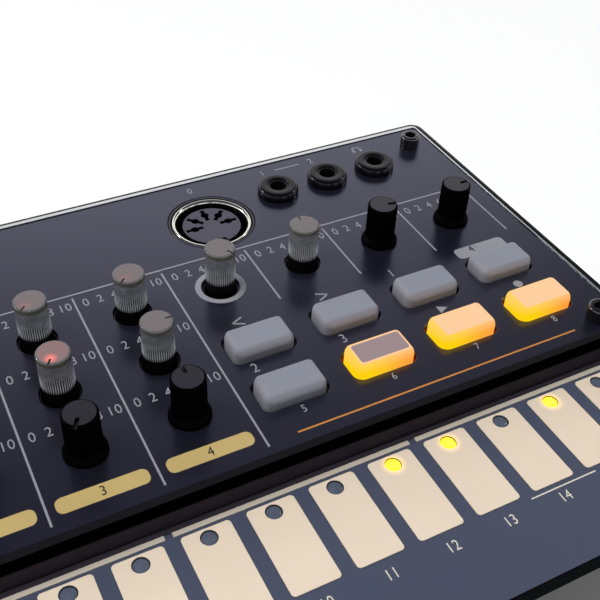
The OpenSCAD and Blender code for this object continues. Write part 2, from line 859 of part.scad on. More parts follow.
// Flat ribbon: down from the strip's connector, over the bay, and up to the main board
ribbon_w = 20;
ribbon_t = 0.4;
plug_h = 1.2;
plug_d = 4;
plug_in = 8;
ribbon_x = col_x(5);
ribbon_front = lamp_y - plug_in;
ribbon_rear = bay_back + bay_wall + plug_d / 2 + 3 * fit;
ribbon_low = bay_roof + bay_wall + fit + ribbon_t / 2;

module strip_ribbon() {
    color("#d8d8d8") translate([ribbon_x, 0, 0]) {
        for (leg = [[ribbon_front, strip_under - plug_h], [ribbon_rear, board_under - plug_h]])
            translate([0, leg[0], (ribbon_low + leg[1]) / 2])
                cube([ribbon_w, ribbon_t, leg[1] - ribbon_low], center = true);
        translate([0, (ribbon_front + ribbon_rear) / 2, ribbon_low])
            cube([ribbon_w, ribbon_rear - ribbon_front + ribbon_t, ribbon_t], center = true);
    }
}

// Ribbon plugs, a square processor, three small chips and four capacitors
module board_components() {
    plug_w = ribbon_w + 3;
    chip_h = 1.6;
    processor_w = 14;
    chip_w = 10;
    chip_d = 6;
    chip_pitch = 14;
    capacitor_r = 2.5;
    capacitor_h = 2.4;
    capacitor_pitch = 8;
    color("#141416") {
        translate([ribbon_x, ribbon_front, strip_under - plug_h / 2])
            cube([plug_w, plug_d, plug_h], center = true);
        translate([ribbon_x, ribbon_rear, board_under - plug_h / 2])
            cube([plug_w, plug_d, plug_h], center = true);
        translate([col_x(3), row_y(0), board_under - chip_h / 2])
            cube([processor_w, processor_w, chip_h], center = true);
        for (i = [0:2]) translate([col_x(6) + chip_pitch * i, row_y(1), board_under - chip_h / 2])
            cube([chip_w, chip_d, chip_h], center = true);
        for (i = [0:3]) translate([col_x(7) + capacitor_pitch * i, row_y(0), 0])
            slab(board_under - capacitor_h, board_under) circle(capacitor_r);
    }
}

// A knob's shaft turns in the collar, and its pointer slot faces the given angle
module knob_place(column, row, angle) {
    translate([col_x(column), row_y(row), 0]) rotate([0, 0, angle]) children();
}

module pointer_slot(top, r) {
    pointer_w = 0.7;
    pointer_depth = 0.5;
    pointer_in = 0.6;
    translate([0, r / 2 + pointer_in, top]) cube([pointer_w, r, 2 * pointer_depth], center = true);
}

module clear_knob(column, row, angle) {
    top = body_h + knob_h;
    bevel = 0.5;
    color("#9a9aa0", 0.8) knob_place(column, row, angle) difference() {
        union() {
            slab(knob_foot, top - bevel) circle(knob_d / 2);
            translate([0, 0, top - bevel - eps])
                cylinder(r1 = knob_d / 2, r2 = knob_d / 2 - bevel, h = bevel + eps);
        }
        pointer_slot(top, knob_d / 2);
    }
}

module black_knob(column, row, angle) {
    top = body_h + black_knob_h;
    skirt_z = body_h + fit;
    bevel = 0.4;
    color("#161618") knob_place(column, row, angle) difference() {
        union() {
            slab(knob_foot, skirt_z + eps) circle(knob_d / 2);
            slab(skirt_z, skirt_z + skirt_h / 2) circle(skirt_d / 2);
            translate([0, 0, skirt_z + skirt_h / 2 - eps])
                cylinder(r1 = skirt_d / 2, r2 = black_knob_d / 2, h = skirt_h / 2);
            slab(skirt_z, top - bevel) circle(black_knob_d / 2);
            translate([0, 0, top - bevel - eps])
                cylinder(r1 = black_knob_d / 2, r2 = black_knob_d / 2 - bevel, h = bevel + eps);
        }
        pointer_slot(top, black_knob_d / 2);
    }
}

module key(column, row) {
    crown_in = 0.3;
    cap_z = body_h + key_wall;
    color("#8f98a4") translate([key_x(column), key_y(row), 0]) {
        slab(flange_under, flange_top)
            rounded(key_w + 2 * flange_edge, key_d + 2 * flange_edge, key_r);
        slab(flange_under, cap_z) rounded(key_w, key_d, key_r);
        hull() {
            slab(cap_z - eps, cap_z) rounded(key_w, key_d, key_r, $fn = 24);
            slab(body_h + key_h - eps, body_h + key_h)
                rounded(key_w - 2 * key_slope, key_d - 2 * key_slope, key_r - crown_in, $fn = 24);
        }
        slab(stem_under, flange_top) circle(stem_r);
    }
}

top_panel();
upper_case();
lower_case();
main_board();
strip_board();
touch_pads();
beat_bars();
step_leds();
key_leds();
knob_leds();
pot_bodies();
tact_switches();
key_mat();
midi_shell();
midi_insert();
midi_contacts();
jack_bodies();
jack_nuts();
dc_jack();
power_switch();
batteries();
battery_springs();
battery_plates();
speaker_frame();
speaker_cone();
rubber_feet();
panel_screws();
case_screws();
standoffs();
board_screws();
strip_ribbon();
board_components();
black_knob(0, 0, 60);  // knob_delay_time
clear_knob(1, 0, 90);  // knob_delay_depth
clear_knob(2, 0, 30);  // knob_kick_click
clear_knob(2, 1, 0);  // knob_kick_pitch
black_knob(2, 2, -60);  // knob_kick_decay
clear_knob(3, 0, -30);  // knob_snare_snap
clear_knob(3, 1, 45);  // knob_snare_pitch
black_knob(3, 2, 0);  // knob_snare_decay
clear_knob(4, 0, 135);  // knob_hi_tom_pitch
clear_knob(4, 1, 150);  // knob_lo_tom_pitch
black_knob(4, 2, 150);  // knob_tom_decay
clear_knob(5, 0, 135);  // knob_closed_hat_decay
clear_knob(5, 1, -90);  // knob_open_hat_decay
black_knob(5, 2, 0);  // knob_hat_grain
clear_knob(6, 0, -147);  // knob_sample_speed
clear_knob(7, 0, 0);  // knob_tempo
black_knob(8, 0, -105);  // knob_part_level
black_knob(9, 0, -90);  // knob_volume
key(0, 0);  // key_previous
key(1, 0);  // key_next
key(2, 0);  // key_mute
key(3, 0);  // key_function
key(0, 1);  // key_memory
key(1, 1);  // key_step_mode
key(2, 1);  // key_play
key(3, 1);  // key_record
power_button();
battery_door();
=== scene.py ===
from math import asin, cos, degrees, pi, radians, sin

import bmesh
import bpy
from mathutils import Matrix, Vector


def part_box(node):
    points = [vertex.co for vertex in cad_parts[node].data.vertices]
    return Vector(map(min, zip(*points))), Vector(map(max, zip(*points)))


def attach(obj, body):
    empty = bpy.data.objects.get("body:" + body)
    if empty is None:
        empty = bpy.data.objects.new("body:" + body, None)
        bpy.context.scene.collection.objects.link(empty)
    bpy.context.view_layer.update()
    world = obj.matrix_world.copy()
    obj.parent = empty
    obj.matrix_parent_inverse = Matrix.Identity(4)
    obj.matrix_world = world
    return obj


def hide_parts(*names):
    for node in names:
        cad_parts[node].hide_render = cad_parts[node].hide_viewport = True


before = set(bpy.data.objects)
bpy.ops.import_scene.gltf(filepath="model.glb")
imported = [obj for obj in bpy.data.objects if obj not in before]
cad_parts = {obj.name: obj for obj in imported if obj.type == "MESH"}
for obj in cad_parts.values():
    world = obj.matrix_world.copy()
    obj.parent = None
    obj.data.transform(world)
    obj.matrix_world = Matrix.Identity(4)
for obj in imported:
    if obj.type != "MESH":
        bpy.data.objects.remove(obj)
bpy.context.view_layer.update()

MM = 0.001


# ---- Places taken from the frame, in millimetres ----

def corners(node):
    return [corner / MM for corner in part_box(node)]


def low(node):
    return corners(node)[0]


def high(node):
    return corners(node)[1]


def centre(node):
    return (low(node) + high(node)) / 2


BOARD_TOP = high("main_board").z
PANEL_TOP = high("top_panel").z
PANEL_UNDER = low("top_panel").z
STRIP_TOP = high("strip_board").z
CLEAR_TOP = high("knob_tempo").z

COLUMNS = """delay_time delay_depth kick_click snare_snap hi_tom_pitch
             closed_hat_decay sample_speed tempo part_level volume"""
col_x = [centre("knob_" + name).x for name in COLUMNS.split()]
COL_PITCH = col_x[1] - col_x[0]

KEYS = "previous next mute function memory step_mode play record".split()
LIT_KEYS = ["step_mode", "play", "record"]
key_at = {name: centre("key_" + name) for name in KEYS}

# Where each knob's notch points, in degrees counter-clockwise from +Y.
CLEAR_KNOBS = {"delay_depth": 90, "kick_click": 30, "kick_pitch": 0, "snare_snap": -30,
               "snare_pitch": 45, "hi_tom_pitch": 135, "lo_tom_pitch": 150,
               "closed_hat_decay": 135, "open_hat_decay": -90, "sample_speed": -147, "tempo": 0}
BLACK_KNOBS = {"delay_time": 60, "kick_decay": -60, "snare_decay": 0, "tom_decay": 150,
               "hat_grain": 0, "part_level": -105, "volume": -90}
KNOBS = [*CLEAR_KNOBS, *BLACK_KNOBS]
# How brightly the light of the lamp under a clear knob is painted, as a glow, on its top.
GLOWING_KNOBS = {"hi_tom_pitch": 0.12, "lo_tom_pitch": 0.9, "closed_hat_decay": 0.1}

STEPS = 16
LIT_STEPS = [11, 12, 14]   # counted from 0
PAD_W = 8.43
pads_low = low("touch_pads")
pads_high = high("touch_pads")
PAD_PITCH = (pads_high.x - pads_low.x - PAD_W) / (STEPS - 1)
pad_x = [pads_low.x + PAD_W / 2 + i * PAD_PITCH for i in range(STEPS)]
lamp_y = centre("step_leds").y

din = centre("midi_shell")
JACKS = 3
jack_row = centre("jack_nuts")
NUT_R = (high("jack_nuts").y - low("jack_nuts").y) / 2
JACK_PITCH = (high("jack_nuts").x - low("jack_nuts").x - 2 * NUT_R) / (JACKS - 1)
jack_x = [low("jack_nuts").x + NUT_R + i * JACK_PITCH for i in range(JACKS)]

# Chosen sizes that meshes and materials share.
RIBS = 44          # round a knob
CLEAR_SHADE_HEIGHT = 2.3   # height over the panel up to which a clear knob is painted dark, as shade


# ---- Outlines: lists of (x, y), or of (radius, z) for a profile ----

def arc(x, y, r, start, sweep, steps, r_y=None):
    """Points along an arc with both its ends, in degrees from +X; r_y makes it part of an ellipse."""
    turns = [radians(start + sweep * i / steps) for i in range(steps + 1)]
    return [(x + r * cos(a), y + (r_y or r) * sin(a)) for a in turns]


def disc(x, y, r, steps=64):
    return arc(x, y, r, 0, 360, steps)[:-1]


def rounded(x, y, w, d, r, steps=8):
    """Rectangle with rounded corners, counter-clockwise from its right side."""
    loop = []
    for corner, (sx, sy) in enumerate([(1, 1), (-1, 1), (-1, -1), (1, -1)]):
        loop += arc(x + sx * (w / 2 - r), y + sy * (d / 2 - r), r, 90 * corner, 90, steps)
    return loop


def outline_of(node, r):
    """The node seen from above, as a rectangle with rounded corners."""
    lo, hi = corners(node)
    return rounded((lo.x + hi.x) / 2, (lo.y + hi.y) / 2, hi.x - lo.x, hi.y - lo.y, r)


def turned(loop, x, y, angle):
    """The loop turned about the origin and then moved to x, y."""
    c = cos(radians(angle))
    s = sin(radians(angle))
    return [(x + px * c - py * s, y + px * s + py * c) for px, py in loop]


def round_over(r, z, size, steps=5):
    """Profile points of a rounded outer edge that climbs to (r, z)."""
    return arc(r - size, z - size, size, 0, 90, steps)


def round_in(r, z, size, steps):
    """Profile points of a rounded inner edge that comes down from z to the bore of radius r."""
    return arc(r + size, z - size, size, 90, 90, steps)


# ---- Meshes, built in millimetres ----

WELD = 1e-5        # points closer than this are one point
SEAM = 1e-3        # the same, along the seams of a CAD mesh
FLAT_ANGLE = 0.3   # degrees between CAD faces that count as one flat
HARD_ANGLE = 40    # degrees at a CAD edge that may be rounded
NEAR = 0.01        # how far off a place an edge may be and still lie there


def add_ring(bm, loop, z):
    return [bm.verts.new((x, y, z)) for x, y in loop]


def bridge(bm, a, b):
    for i in range(len(a)):
        j = (i + 1) % len(a)
        bm.faces.new((a[i], a[j], b[j], b[i]))


def loft(bm, sections):
    """Solid through a stack of loops with the same number of points: (loop, z)."""
    rings = [add_ring(bm, loop, z) for loop, z in sections]
    for a, b in zip(rings, rings[1:]):
        bridge(bm, a, b)
    bm.faces.new(rings[0][::-1])
    bm.faces.new(rings[-1])


def prism(bm, loop, z0, z1):
    loft(bm, [(loop, z0), (loop, z1)])


def lathe(bm, x, y, profile, steps):
    """Solid of revolution about a vertical axis, from a closed profile of (radius, z)."""
    rings = [add_ring(bm, disc(x, y, r, steps), z) for r, z in profile]
    for a, b in zip(rings, rings[1:] + rings[:1]):
        bridge(bm, a, b)


def add_curve(bm, curve, place):
    """Adds the mesh of a filled curve, moved by a matrix, and clears the curve away."""
    maker = bpy.data.objects.new("maker", curve)
    mesh = bpy.data.meshes.new_from_object(maker)
    mesh.transform(place)
    bm.from_mesh(mesh)
    bpy.data.objects.remove(maker)
    bpy.data.curves.remove(curve)
    bpy.data.meshes.remove(mesh)


def paint_below(bm, z, index=1):
    """Gives the faces below height z another of the piece's materials."""
    for face in bm.faces:
        if face.calc_center_median().z < z:
            face.material_index = index


def plate(bm, outline, holes, z0, z1, edge):
    """Flat plate with holes through it, whose top and bottom edges are rounded off."""
    curve = bpy.data.curves.new("plate", "CURVE")
    curve.dimensions = "2D"
    curve.fill_mode = "BOTH"
    for loop in [outline] + holes:
        spline = curve.splines.new("POLY")
        spline.points.add(len(loop) - 1)
        for point, (x, y) in zip(spline.points, loop):
            point.co = (x, y, 0, 1)
        spline.use_cyclic_u = True
    curve.extrude = (z1 - z0) / 2 - edge
    curve.bevel_depth = edge
    curve.bevel_resolution = 1
    curve.offset = -edge
    add_curve(bm, curve, Matrix.Translation((0, 0, (z0 + z1) / 2)))


def outward_mesh(name, bm):
    """Turns a bmesh into a mesh whose faces look outwards."""
    bmesh.ops.recalc_face_normals(bm, faces=bm.faces)
    mesh = bpy.data.meshes.new(name)
    bm.to_mesh(mesh)
    bm.free()
    return mesh


def finished_mesh(name, bm, surfaces, sharp):
    """Turns a bmesh in millimetres into a smooth mesh in metres, creased above an angle."""
    bmesh.ops.remove_doubles(bm, verts=bm.verts, dist=WELD)
    mesh = outward_mesh(name, bm)
    mesh.transform(Matrix.Scale(MM, 4))
    for surface in surfaces:
        mesh.materials.append(surface)
    mesh.shade_smooth()
    mesh.set_sharp_from_angle(angle=radians(sharp))
    return mesh


def add_object(name, data):
    thing = bpy.data.objects.new(name, data)
    bpy.context.collection.objects.link(thing)
    return thing


def place_piece(name, mesh, body, replaces):
    """Puts a mesh into the scene so that its large faces shade flat beside rounded edges."""
    piece = add_object(name, mesh)
    flats = piece.modifiers.new("flats", "WEIGHTED_NORMAL")
    flats.keep_sharp = True
    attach(piece, body)
    if replaces:
        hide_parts(*replaces)
    return piece


def make(name, bm, surfaces, body="case", replaces=(), sharp=30):
    """Turns a bmesh in millimetres into a piece that rides on a body."""
    return place_piece(name, finished_mesh(name, bm, surfaces, sharp), body, replaces)


def cad_copy(node):
    """The node's mesh in millimetres, with the seams of its hard edges closed and flats joined."""
    bm = bmesh.new()
    bm.from_mesh(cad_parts[node].data)
    bmesh.ops.transform(bm, matrix=Matrix.Scale(1 / MM, 4), verts=bm.verts)
    bmesh.ops.remove_doubles(bm, verts=bm.verts, dist=SEAM)
    bmesh.ops.dissolve_limit(bm, angle_limit=radians(FLAT_ANGLE), verts=bm.verts, edges=bm.edges)
    return bm


def soften(bm, size, steps, pick):
    """Rounds the hard edges that pick(middle, edge) accepts."""
    edges = [e for e in bm.edges
             if len(e.link_faces) == 2 and e.calc_face_angle() > radians(HARD_ANGLE)
             and pick((e.verts[0].co + e.verts[1].co) / 2, e)]
    bmesh.ops.bevel(bm, geom=edges, offset=size, segments=steps, profile=0.5,
                    affect="EDGES", clamp_overlap=True)


def level(e, place, axis="z"):
    """Whether an edge lies at a height, or at a place along another axis."""
    return all(abs(getattr(v.co, axis) - place) < NEAR for v in e.verts)


# ---- Shader nodes ----

def put(tree, socket, value):
    """Gives a socket a plain value or another node's output."""
    if isinstance(value, bpy.types.NodeSocket):
        tree.links.new(value, socket)
    else:
        socket.default_value = value


def add_node(tree, kind, **inputs):
    """New node with its inputs filled; an input's name has underscores for its spaces."""
    node = tree.nodes.new("ShaderNode" + kind)
    for name, value in inputs.items():
        put(tree, node.inputs[name.replace("_", " ")], value)
    return node


def maths(tree, operation, *values, kind="Math"):
    node = add_node(tree, kind)
    node.operation = operation
    for socket, value in zip(node.inputs, values):
        put(tree, socket, value)
    return node.outputs["Value"]


def ramp_between(tree, value, start, end, first=0.0, last=1.0, shape="LINEAR"):
    """The value carried over from start..end to first..last, and held at both ends."""
    ramp = add_node(tree, "MapRange", Value=value, From_Min=start, From_Max=end,
                    To_Min=first, To_Max=last)
    ramp.interpolation_type = shape
    return ramp.outputs["Result"]


def blend_colours(tree, factor, first, second):
    mix = add_node(tree, "Mix")
    mix.data_type = "RGBA"
    put(tree, mix.inputs["Factor"], factor)
    for name, colour in (("A", first), ("B", second)):
        put(tree, mix.inputs[name], (*colour, 1) if isinstance(colour, tuple) else colour)
    return mix.outputs["Result"]


def blend_shaders(tree, factor, first, second):
    mix = add_node(tree, "MixShader")
    for socket, source in zip(mix.inputs, (factor, first, second)):
        put(tree, socket, source)
    return mix.outputs["Shader"]


def coordinate(tree, source="Object"):
    """Texture coordinate; "Object" is the piece's own frame, in metres."""
    return add_node(tree, "TexCoord").outputs[source]


def parts_of(tree, vector):
    split = add_node(tree, "SeparateXYZ", Vector=vector)
    return [split.outputs[axis] for axis in "XYZ"]


def position_along(tree, direction, source="Object"):
    """How far a point lies along a direction."""
    return maths(tree, "DOT_PRODUCT", coordinate(tree, source), direction, kind="VectorMath")


def distance_from(tree, point):
    """How far a point of the piece lies from another."""
    return maths(tree, "DISTANCE", coordinate(tree), point, kind="VectorMath")


def facing_up(tree, start, end):
    """Rises from 0 to 1 as the height of the surface's normal goes from start to end."""
    return ramp_between(tree, parts_of(tree, coordinate(tree, "Normal"))[2], start, end)


# ---- Materials ----

def feed(mat, name, value):
    """The same as put(), for an input of the material's shader."""
    put(mat.node_tree, mat.node_tree.nodes["Principled BSDF"].inputs[name], value)


def material(name, colour, rough, colour_spread, rough_spread, patch, grain, grain_depth=0.0,
             shine=0.5, **constants):
    """Principled surface whose colour, roughness and fine relief vary with noise.

    patch and grain are scales of noise, grain_depth is in millimetres, and shine is the mirror level.
    """
    mat = bpy.data.materials.new(name)
    mat.use_nodes = True
    tree = mat.node_tree
    feed(mat, "Specular IOR Level", shine)
    for socket, value in constants.items():
        feed(mat, socket.replace("_", " "), value)
    place = coordinate(tree)
    broad = add_node(tree, "TexNoise", Vector=place, Scale=patch, Detail=4).outputs["Fac"]
    fine = add_node(tree, "TexNoise", Vector=place, Scale=grain, Detail=3).outputs["Fac"]
    darker = tuple(c * (1 - colour_spread) for c in colour)
    paler = tuple(min(1, c * (1 + colour_spread)) for c in colour)
    feed(mat, "Base Color", blend_colours(tree, broad, darker, paler))
    smoothest = max(0.02, rough - rough_spread)
    feed(mat, "Roughness", ramp_between(tree, fine, 0, 1, smoothest, rough + rough_spread))
    if grain_depth:
        relief = add_node(tree, "Bump", Strength=1, Distance=grain_depth * MM, Height=fine)
        feed(mat, "Normal", relief.outputs["Normal"])
    return mat


def first_node(mat, kind):
    return next(n for n in mat.node_tree.nodes if n.bl_idname == "ShaderNode" + kind)


def noisy_colour(mat):
    """The varied colour that material() made."""
    return first_node(mat, "Mix").outputs["Result"]


def glow(mat, colour, strength):
    """Makes a material shine, a little unevenly as a lamp under a lens does."""
    dim = tuple(c * 0.9 for c in colour)
    broad = first_node(mat, "TexNoise").outputs["Fac"]
    feed(mat, "Emission Color", blend_colours(mat.node_tree, broad, dim, colour))
    feed(mat, "Emission Strength", strength)
    return mat


def wall_paint():
    """Near black paint of the step's wall, with a paler band along its foot that is a painted reflection
    of the lit touch strip.
    """
    mat = material("case_wall", (0.0003, 0.0003, 0.0004), 0.5, 0.2, 0.04, 30, 900, 0.0005, shine=0.0)
    tree = mat.node_tree
    band_top = STRIP_TOP + 3.7
    blur = 0.5
    above = ramp_between(tree, position_along(tree, (0, 0, 1)), (band_top - blur) * MM, band_top * MM)
    # Painted reflection: below band_top the wall is painted paler, as if the lit strip showed in it.
    feed(mat, "Base Color", blend_colours(tree, above, (0.036, 0.03, 0.039), noisy_colour(mat)))
    return mat


def silicone_key():
    """Milky silicone, with painted light: cooler on the flat top, paler and warmer on the sides."""
    mat = material("key_silicone", (0.218, 0.229, 0.272), 0.5, 0.03, 0.05, 250, 2400, 0.004,
                   Subsurface_Weight=0.2, Subsurface_Scale=0.003, Sheen_Weight=0.1)
    tree = mat.node_tree
    # Painted light: the sides get a paler, warmer colour than the flat top.
    side = (0.25, 0.248, 0.288)
    feed(mat, "Base Color", blend_colours(tree, facing_up(tree, 0.55, 0.98), side, noisy_colour(mat)))
    return mat


def lit_silicone():
    """Silicone over a lamp, with the lamp's light painted on as a glow: yellow at the foot, orange to the
    right, pale on top.
    """
    mat = material("key_lit", (0.06, 0.03, 0.008), 0.55, 0.04, 0.05, 250, 2400, 0.003, shine=0.15)
    tree = mat.node_tree
    across = ramp_between(tree, position_along(tree, (1, 0, 0)), -3.6 * MM, 3.6 * MM)
    foot = blend_colours(tree, across, (0.97, 0.63, 0.001), (0.97, 0.36, 0.045))
    ridge = blend_colours(tree, across, (0.97, 0.61, 0.12), (0.97, 0.58, 0.26))
    rise = ramp_between(tree, position_along(tree, (0, 0.35, 1)), -0.2 * MM, 2.6 * MM)
    side = blend_colours(tree, rise, foot, ridge)
    top = (0.92, 0.585, 0.335)
    # Painted glow in place of the lamp's light coming through the silicone.
    feed(mat, "Emission Color", blend_colours(tree, facing_up(tree, 0.8, 0.98), side, top))
    feed(mat, "Emission Strength", 1.0)
    return mat


def lamp_lens():
    """Lit yellow lens with a hotter middle."""
    mat = material("lamp_lit", (0.7, 0.6, 0.02), 0.2, 0.05, 0.04, 300, 2000, 0.002)
    tree = mat.node_tree
    rim = (0.95, 0.6, 0.0)
    middle = (1.0, 0.92, 0.04)
    feed(mat, "Emission Color", blend_colours(tree, facing_up(tree, 0.86, 0.99), rim, middle))
    feed(mat, "Emission Strength", 1.7)
    return mat


def pad_surface():
    """Cream pad with the light of each lit lamp painted round it as a glow."""
    mat = material("pad_cream", (0.72, 0.6, 0.47), 0.38, 0.03, 0.06, 120, 1800, 0.002)
    tree = mat.node_tree
    y = lamp_y - 0.15
    full_r = 1.3
    none_r = 2.8
    brightest = 0.82
    fall = 2.2
    total = 0
    for i in LIT_STEPS:
        away = distance_from(tree, (pad_x[i] * MM, y * MM, STRIP_TOP * MM))
        halo = ramp_between(tree, away, full_r * MM, none_r * MM, brightest, 0)
        total = maths(tree, "MAXIMUM", total, maths(tree, "POWER", halo, fall))
    # Painted glow of the lit lamps on the pad.
    feed(mat, "Emission Color", (1.0, 0.52, 0.04, 1))
    feed(mat, "Emission Strength", total)
    return mat


def clear_plastic():
    """Smoky see-through plastic with painted highlights in its ribs above the foot, and a brim painted
    dark as shade.
    """
    mat = material("clear_knob", (0.37, 0.375, 0.4), 0.06, 0.04, 0.02, 300, 2600, IOR=1.49)
    tree = mat.node_tree
    foot = PANEL_TOP + CLEAR_SHADE_HEIGHT
    x, y, z = parts_of(tree, coordinate(tree))

    def band(start, full, fade, end):
        """1 from height full to height fade, and 0 below start and above end."""
        climb = ramp_between(tree, z, start * MM, full * MM)
        return maths(tree, "MULTIPLY", climb, ramp_between(tree, z, fade * MM, end * MM, 1, 0))

    wave = maths(tree, "COSINE", maths(tree, "MULTIPLY", maths(tree, "ARCTAN2", y, x), RIBS))
    lit = band(foot, foot + 0.8, PANEL_TOP + 3.8, PANEL_TOP + 6.6)
    # Painted highlight: pale, glowing stripes on the ribs.
    rib_highlight = maths(tree, "MULTIPLY", lit, ramp_between(tree, wave, -0.1, 1.0))
    # Painted shade: a dark band under the rim of the top.
    brim_shade = band(CLEAR_TOP - 1.4, CLEAR_TOP - 0.9, CLEAR_TOP - 0.14, CLEAR_TOP - 0.02)
    side = blend_colours(tree, rib_highlight, noisy_colour(mat), (0.76, 0.76, 0.8))
    feed(mat, "Base Color", blend_colours(tree, brim_shade, side, (0.115, 0.11, 0.09)))
    solid = maths(tree, "MAXIMUM", rib_highlight, brim_shade)
    feed(mat, "Transmission Weight", ramp_between(tree, solid, 0, 1, 0.75, 0.3))
    feed(mat, "Emission Color", (0.92, 0.93, 1.0, 1))
    feed(mat, "Emission Strength", maths(tree, "MULTIPLY", rib_highlight, 0.1))
    return mat


def frosted_top(name, glowing=0.0):
    """Frosted flat top of a clear knob, which may have the red light of the lamp under it painted round
    its notch as a glow.
    """
    mat = material(name, (0.148, 0.127, 0.132), 0.42, 0.05, 0.05, 500, 2600, 0.001)
    if glowing:
        tree = mat.node_tree
        near = distance_from(tree, (0.0, 1.5 * MM, CLEAR_TOP * MM))
        feed(mat, "Emission Color", (1.0, 0.13, 0.07, 1))
        feed(mat, "Emission Strength",
             ramp_between(tree, near, 0.1 * MM, 1.3 * MM, glowing, 0.1 * glowing))
    return mat


# Numbers: colour, roughness, the spread of both, both noise scales and the depth of the relief.
panel_paint = material("panel_paint", (0.0078, 0.0078, 0.014), 0.25, 0.08, 0.02, 18, 1200, 0.0004,
                       shine=1.0, IOR=1.65, Specular_Tint=(0.7, 0.69, 1.0, 1))
case_gloss = material("case_gloss", (0.003, 0.0035, 0.004), 0.26, 0.2, 0.04, 30, 900, 0.0005, shine=0.16)
case_rim = material("case_rim", (0.006, 0.007, 0.008), 0.2, 0.2, 0.04, 30, 900, 0.0005, shine=0.6)
case_lip = material("case_lip", (0.009, 0.008, 0.01), 0.45, 0.2, 0.04, 30, 900, 0.0005, shine=0.03)
# Bright metal for the painted highlight along the rim.
rim_highlight_metal = material("rim_highlight_metal", (0.88, 0.89, 0.92), 0.25, 0.03, 0.04, 60, 2600, 0.0003,
                       Metallic=1.0)
case_matt = material("case_matt", (0.012, 0.012, 0.014), 0.5, 0.15, 0.08, 30, 2200, 0.012, shine=0.4)
ink_grey = material("ink_grey", (0.25, 0.25, 0.28), 0.5, 0.06, 0.05, 300, 4000, 0.001)
ink_yellow = material("ink_yellow", (0.46, 0.34, 0.13), 0.5, 0.05, 0.05, 200, 4000, 0.001)
ink_orange = material("ink_orange", (0.5, 0.19, 0.035), 0.5, 0.05, 0.05, 200, 4000, 0.001)
ink_dark = material("ink_dark", (0.018, 0.018, 0.022), 0.5, 0.1, 0.05, 200, 4000, 0.001)
ink_cream = material("ink_cream", (0.62, 0.58, 0.5), 0.5, 0.05, 0.05, 300, 4000, 0.001)
strip_paint = material("strip_paint", (0.057, 0.067, 0.106), 0.42, 0.08, 0.05, 60, 2600, 0.003, shine=0.4)
bar_cream = material("bar_cream", (0.5, 0.45, 0.37), 0.4, 0.05, 0.06, 120, 1800, 0.002)
collar_black = material("collar_black", (0.002, 0.002, 0.003), 0.12, 0.2, 0.03, 200, 900, 0.001,
                        shine=0.35)
chrome = material("chrome", (0.95, 0.93, 0.84), 0.13, 0.05, 0.04, 300, 3000, 0.0004, Metallic=1.0)
socket_grey = material("socket_grey", (0.062, 0.058, 0.083), 0.5, 0.08, 0.06, 200, 3000, 0.006)
bezel_grey = material("bezel_grey", (0.03, 0.03, 0.043), 0.35, 0.08, 0.05, 200, 3000, 0.003)
brass = material("brass", (0.62, 0.45, 0.19), 0.3, 0.1, 0.08, 400, 3000, 0.001, Metallic=1.0)
nut_black = material("nut_black", (0.003, 0.003, 0.004), 0.18, 0.2, 0.04, 200, 1600, 0.001,
                     shine=0.38, Specular_Tint=(0.85, 0.84, 1.0, 1))
screw_black = material("screw_black", (0.004, 0.004, 0.005), 0.2, 0.2, 0.06, 300, 2500, 0.002,
                       shine=0.8, IOR=1.75)
jack_plastic = material("jack_plastic", (0.006, 0.005, 0.006), 0.35, 0.15, 0.08, 200, 2500, 0.004,
                        shine=0.3)
rubber = material("rubber", (0.02, 0.02, 0.021), 0.75, 0.15, 0.08, 200, 1800, 0.02, shine=0.3)
board_green = material("board_green", (0.02, 0.105, 0.045), 0.35, 0.25, 0.08, 260, 1200, 0.004)
chip_black = material("chip_black", (0.02, 0.02, 0.022), 0.55, 0.15, 0.08, 300, 2500, 0.006)
steel = material("steel", (0.55, 0.55, 0.57), 0.28, 0.08, 0.08, 500, 3000, 0.001, Metallic=1.0)
cell_sleeve = material("cell_sleeve", (0.16, 0.17, 0.19), 0.3, 0.1, 0.08, 120, 3000, 0.001)
cone_paper = material("cone_paper", (0.022, 0.022, 0.024), 0.8, 0.25, 0.08, 500, 1500, 0.03)
speaker_grey = material("speaker_grey", (0.05, 0.05, 0.053), 0.4, 0.12, 0.08, 200, 2000, 0.004)
mat_rubber = material("mat_rubber", (0.42, 0.44, 0.46), 0.6, 0.06, 0.06, 150, 1800, 0.008)
ribbon_grey = material("ribbon_grey", (0.52, 0.52, 0.53), 0.45, 0.08, 0.06, 300, 2000, 0.004)
lamp_off = material("lamp_off", (0.085, 0.1, 0.14), 0.16, 0.3, 0.05, 700, 2000, 0.004)
knob_lamp = material("knob_lamp", (0.35, 0.05, 0.04), 0.3, 0.1, 0.05, 300, 2000, 0.002)
# Dark silicone as painted shade under the panel, for the flanges of unlit keys and the stems.
key_under_shade = material("key_under_shade", (0.035, 0.035, 0.04), 0.6, 0.1, 0.05, 300, 2000, 0.002)
key_film = material("key_film", (0.285, 0.208, 0.215), 0.55, 0.05, 0.05, 300, 2400, 0.004)
knob_black = material("knob_black", (0.001, 0.001, 0.0014), 0.4, 0.2, 0.06, 200, 3500, 0.002,
                      shine=0.012)
# The top is painted a little paler and bluer than the body: painted sheen beside its real shine.
knob_face = material("knob_face", (0.007, 0.007, 0.011), 0.36, 0.15, 0.04, 200, 3000, 0.001,
                     shine=0.85, Specular_Tint=(0.9, 0.85, 1.0, 1))
# Near black for the foot of a clear knob: painted shade where it stands in the hole.
clear_foot_shade = material("clear_foot_shade", (0.004, 0.004, 0.004), 0.3, 0.2, 0.05, 300, 2600, 0.001, shine=0.15)
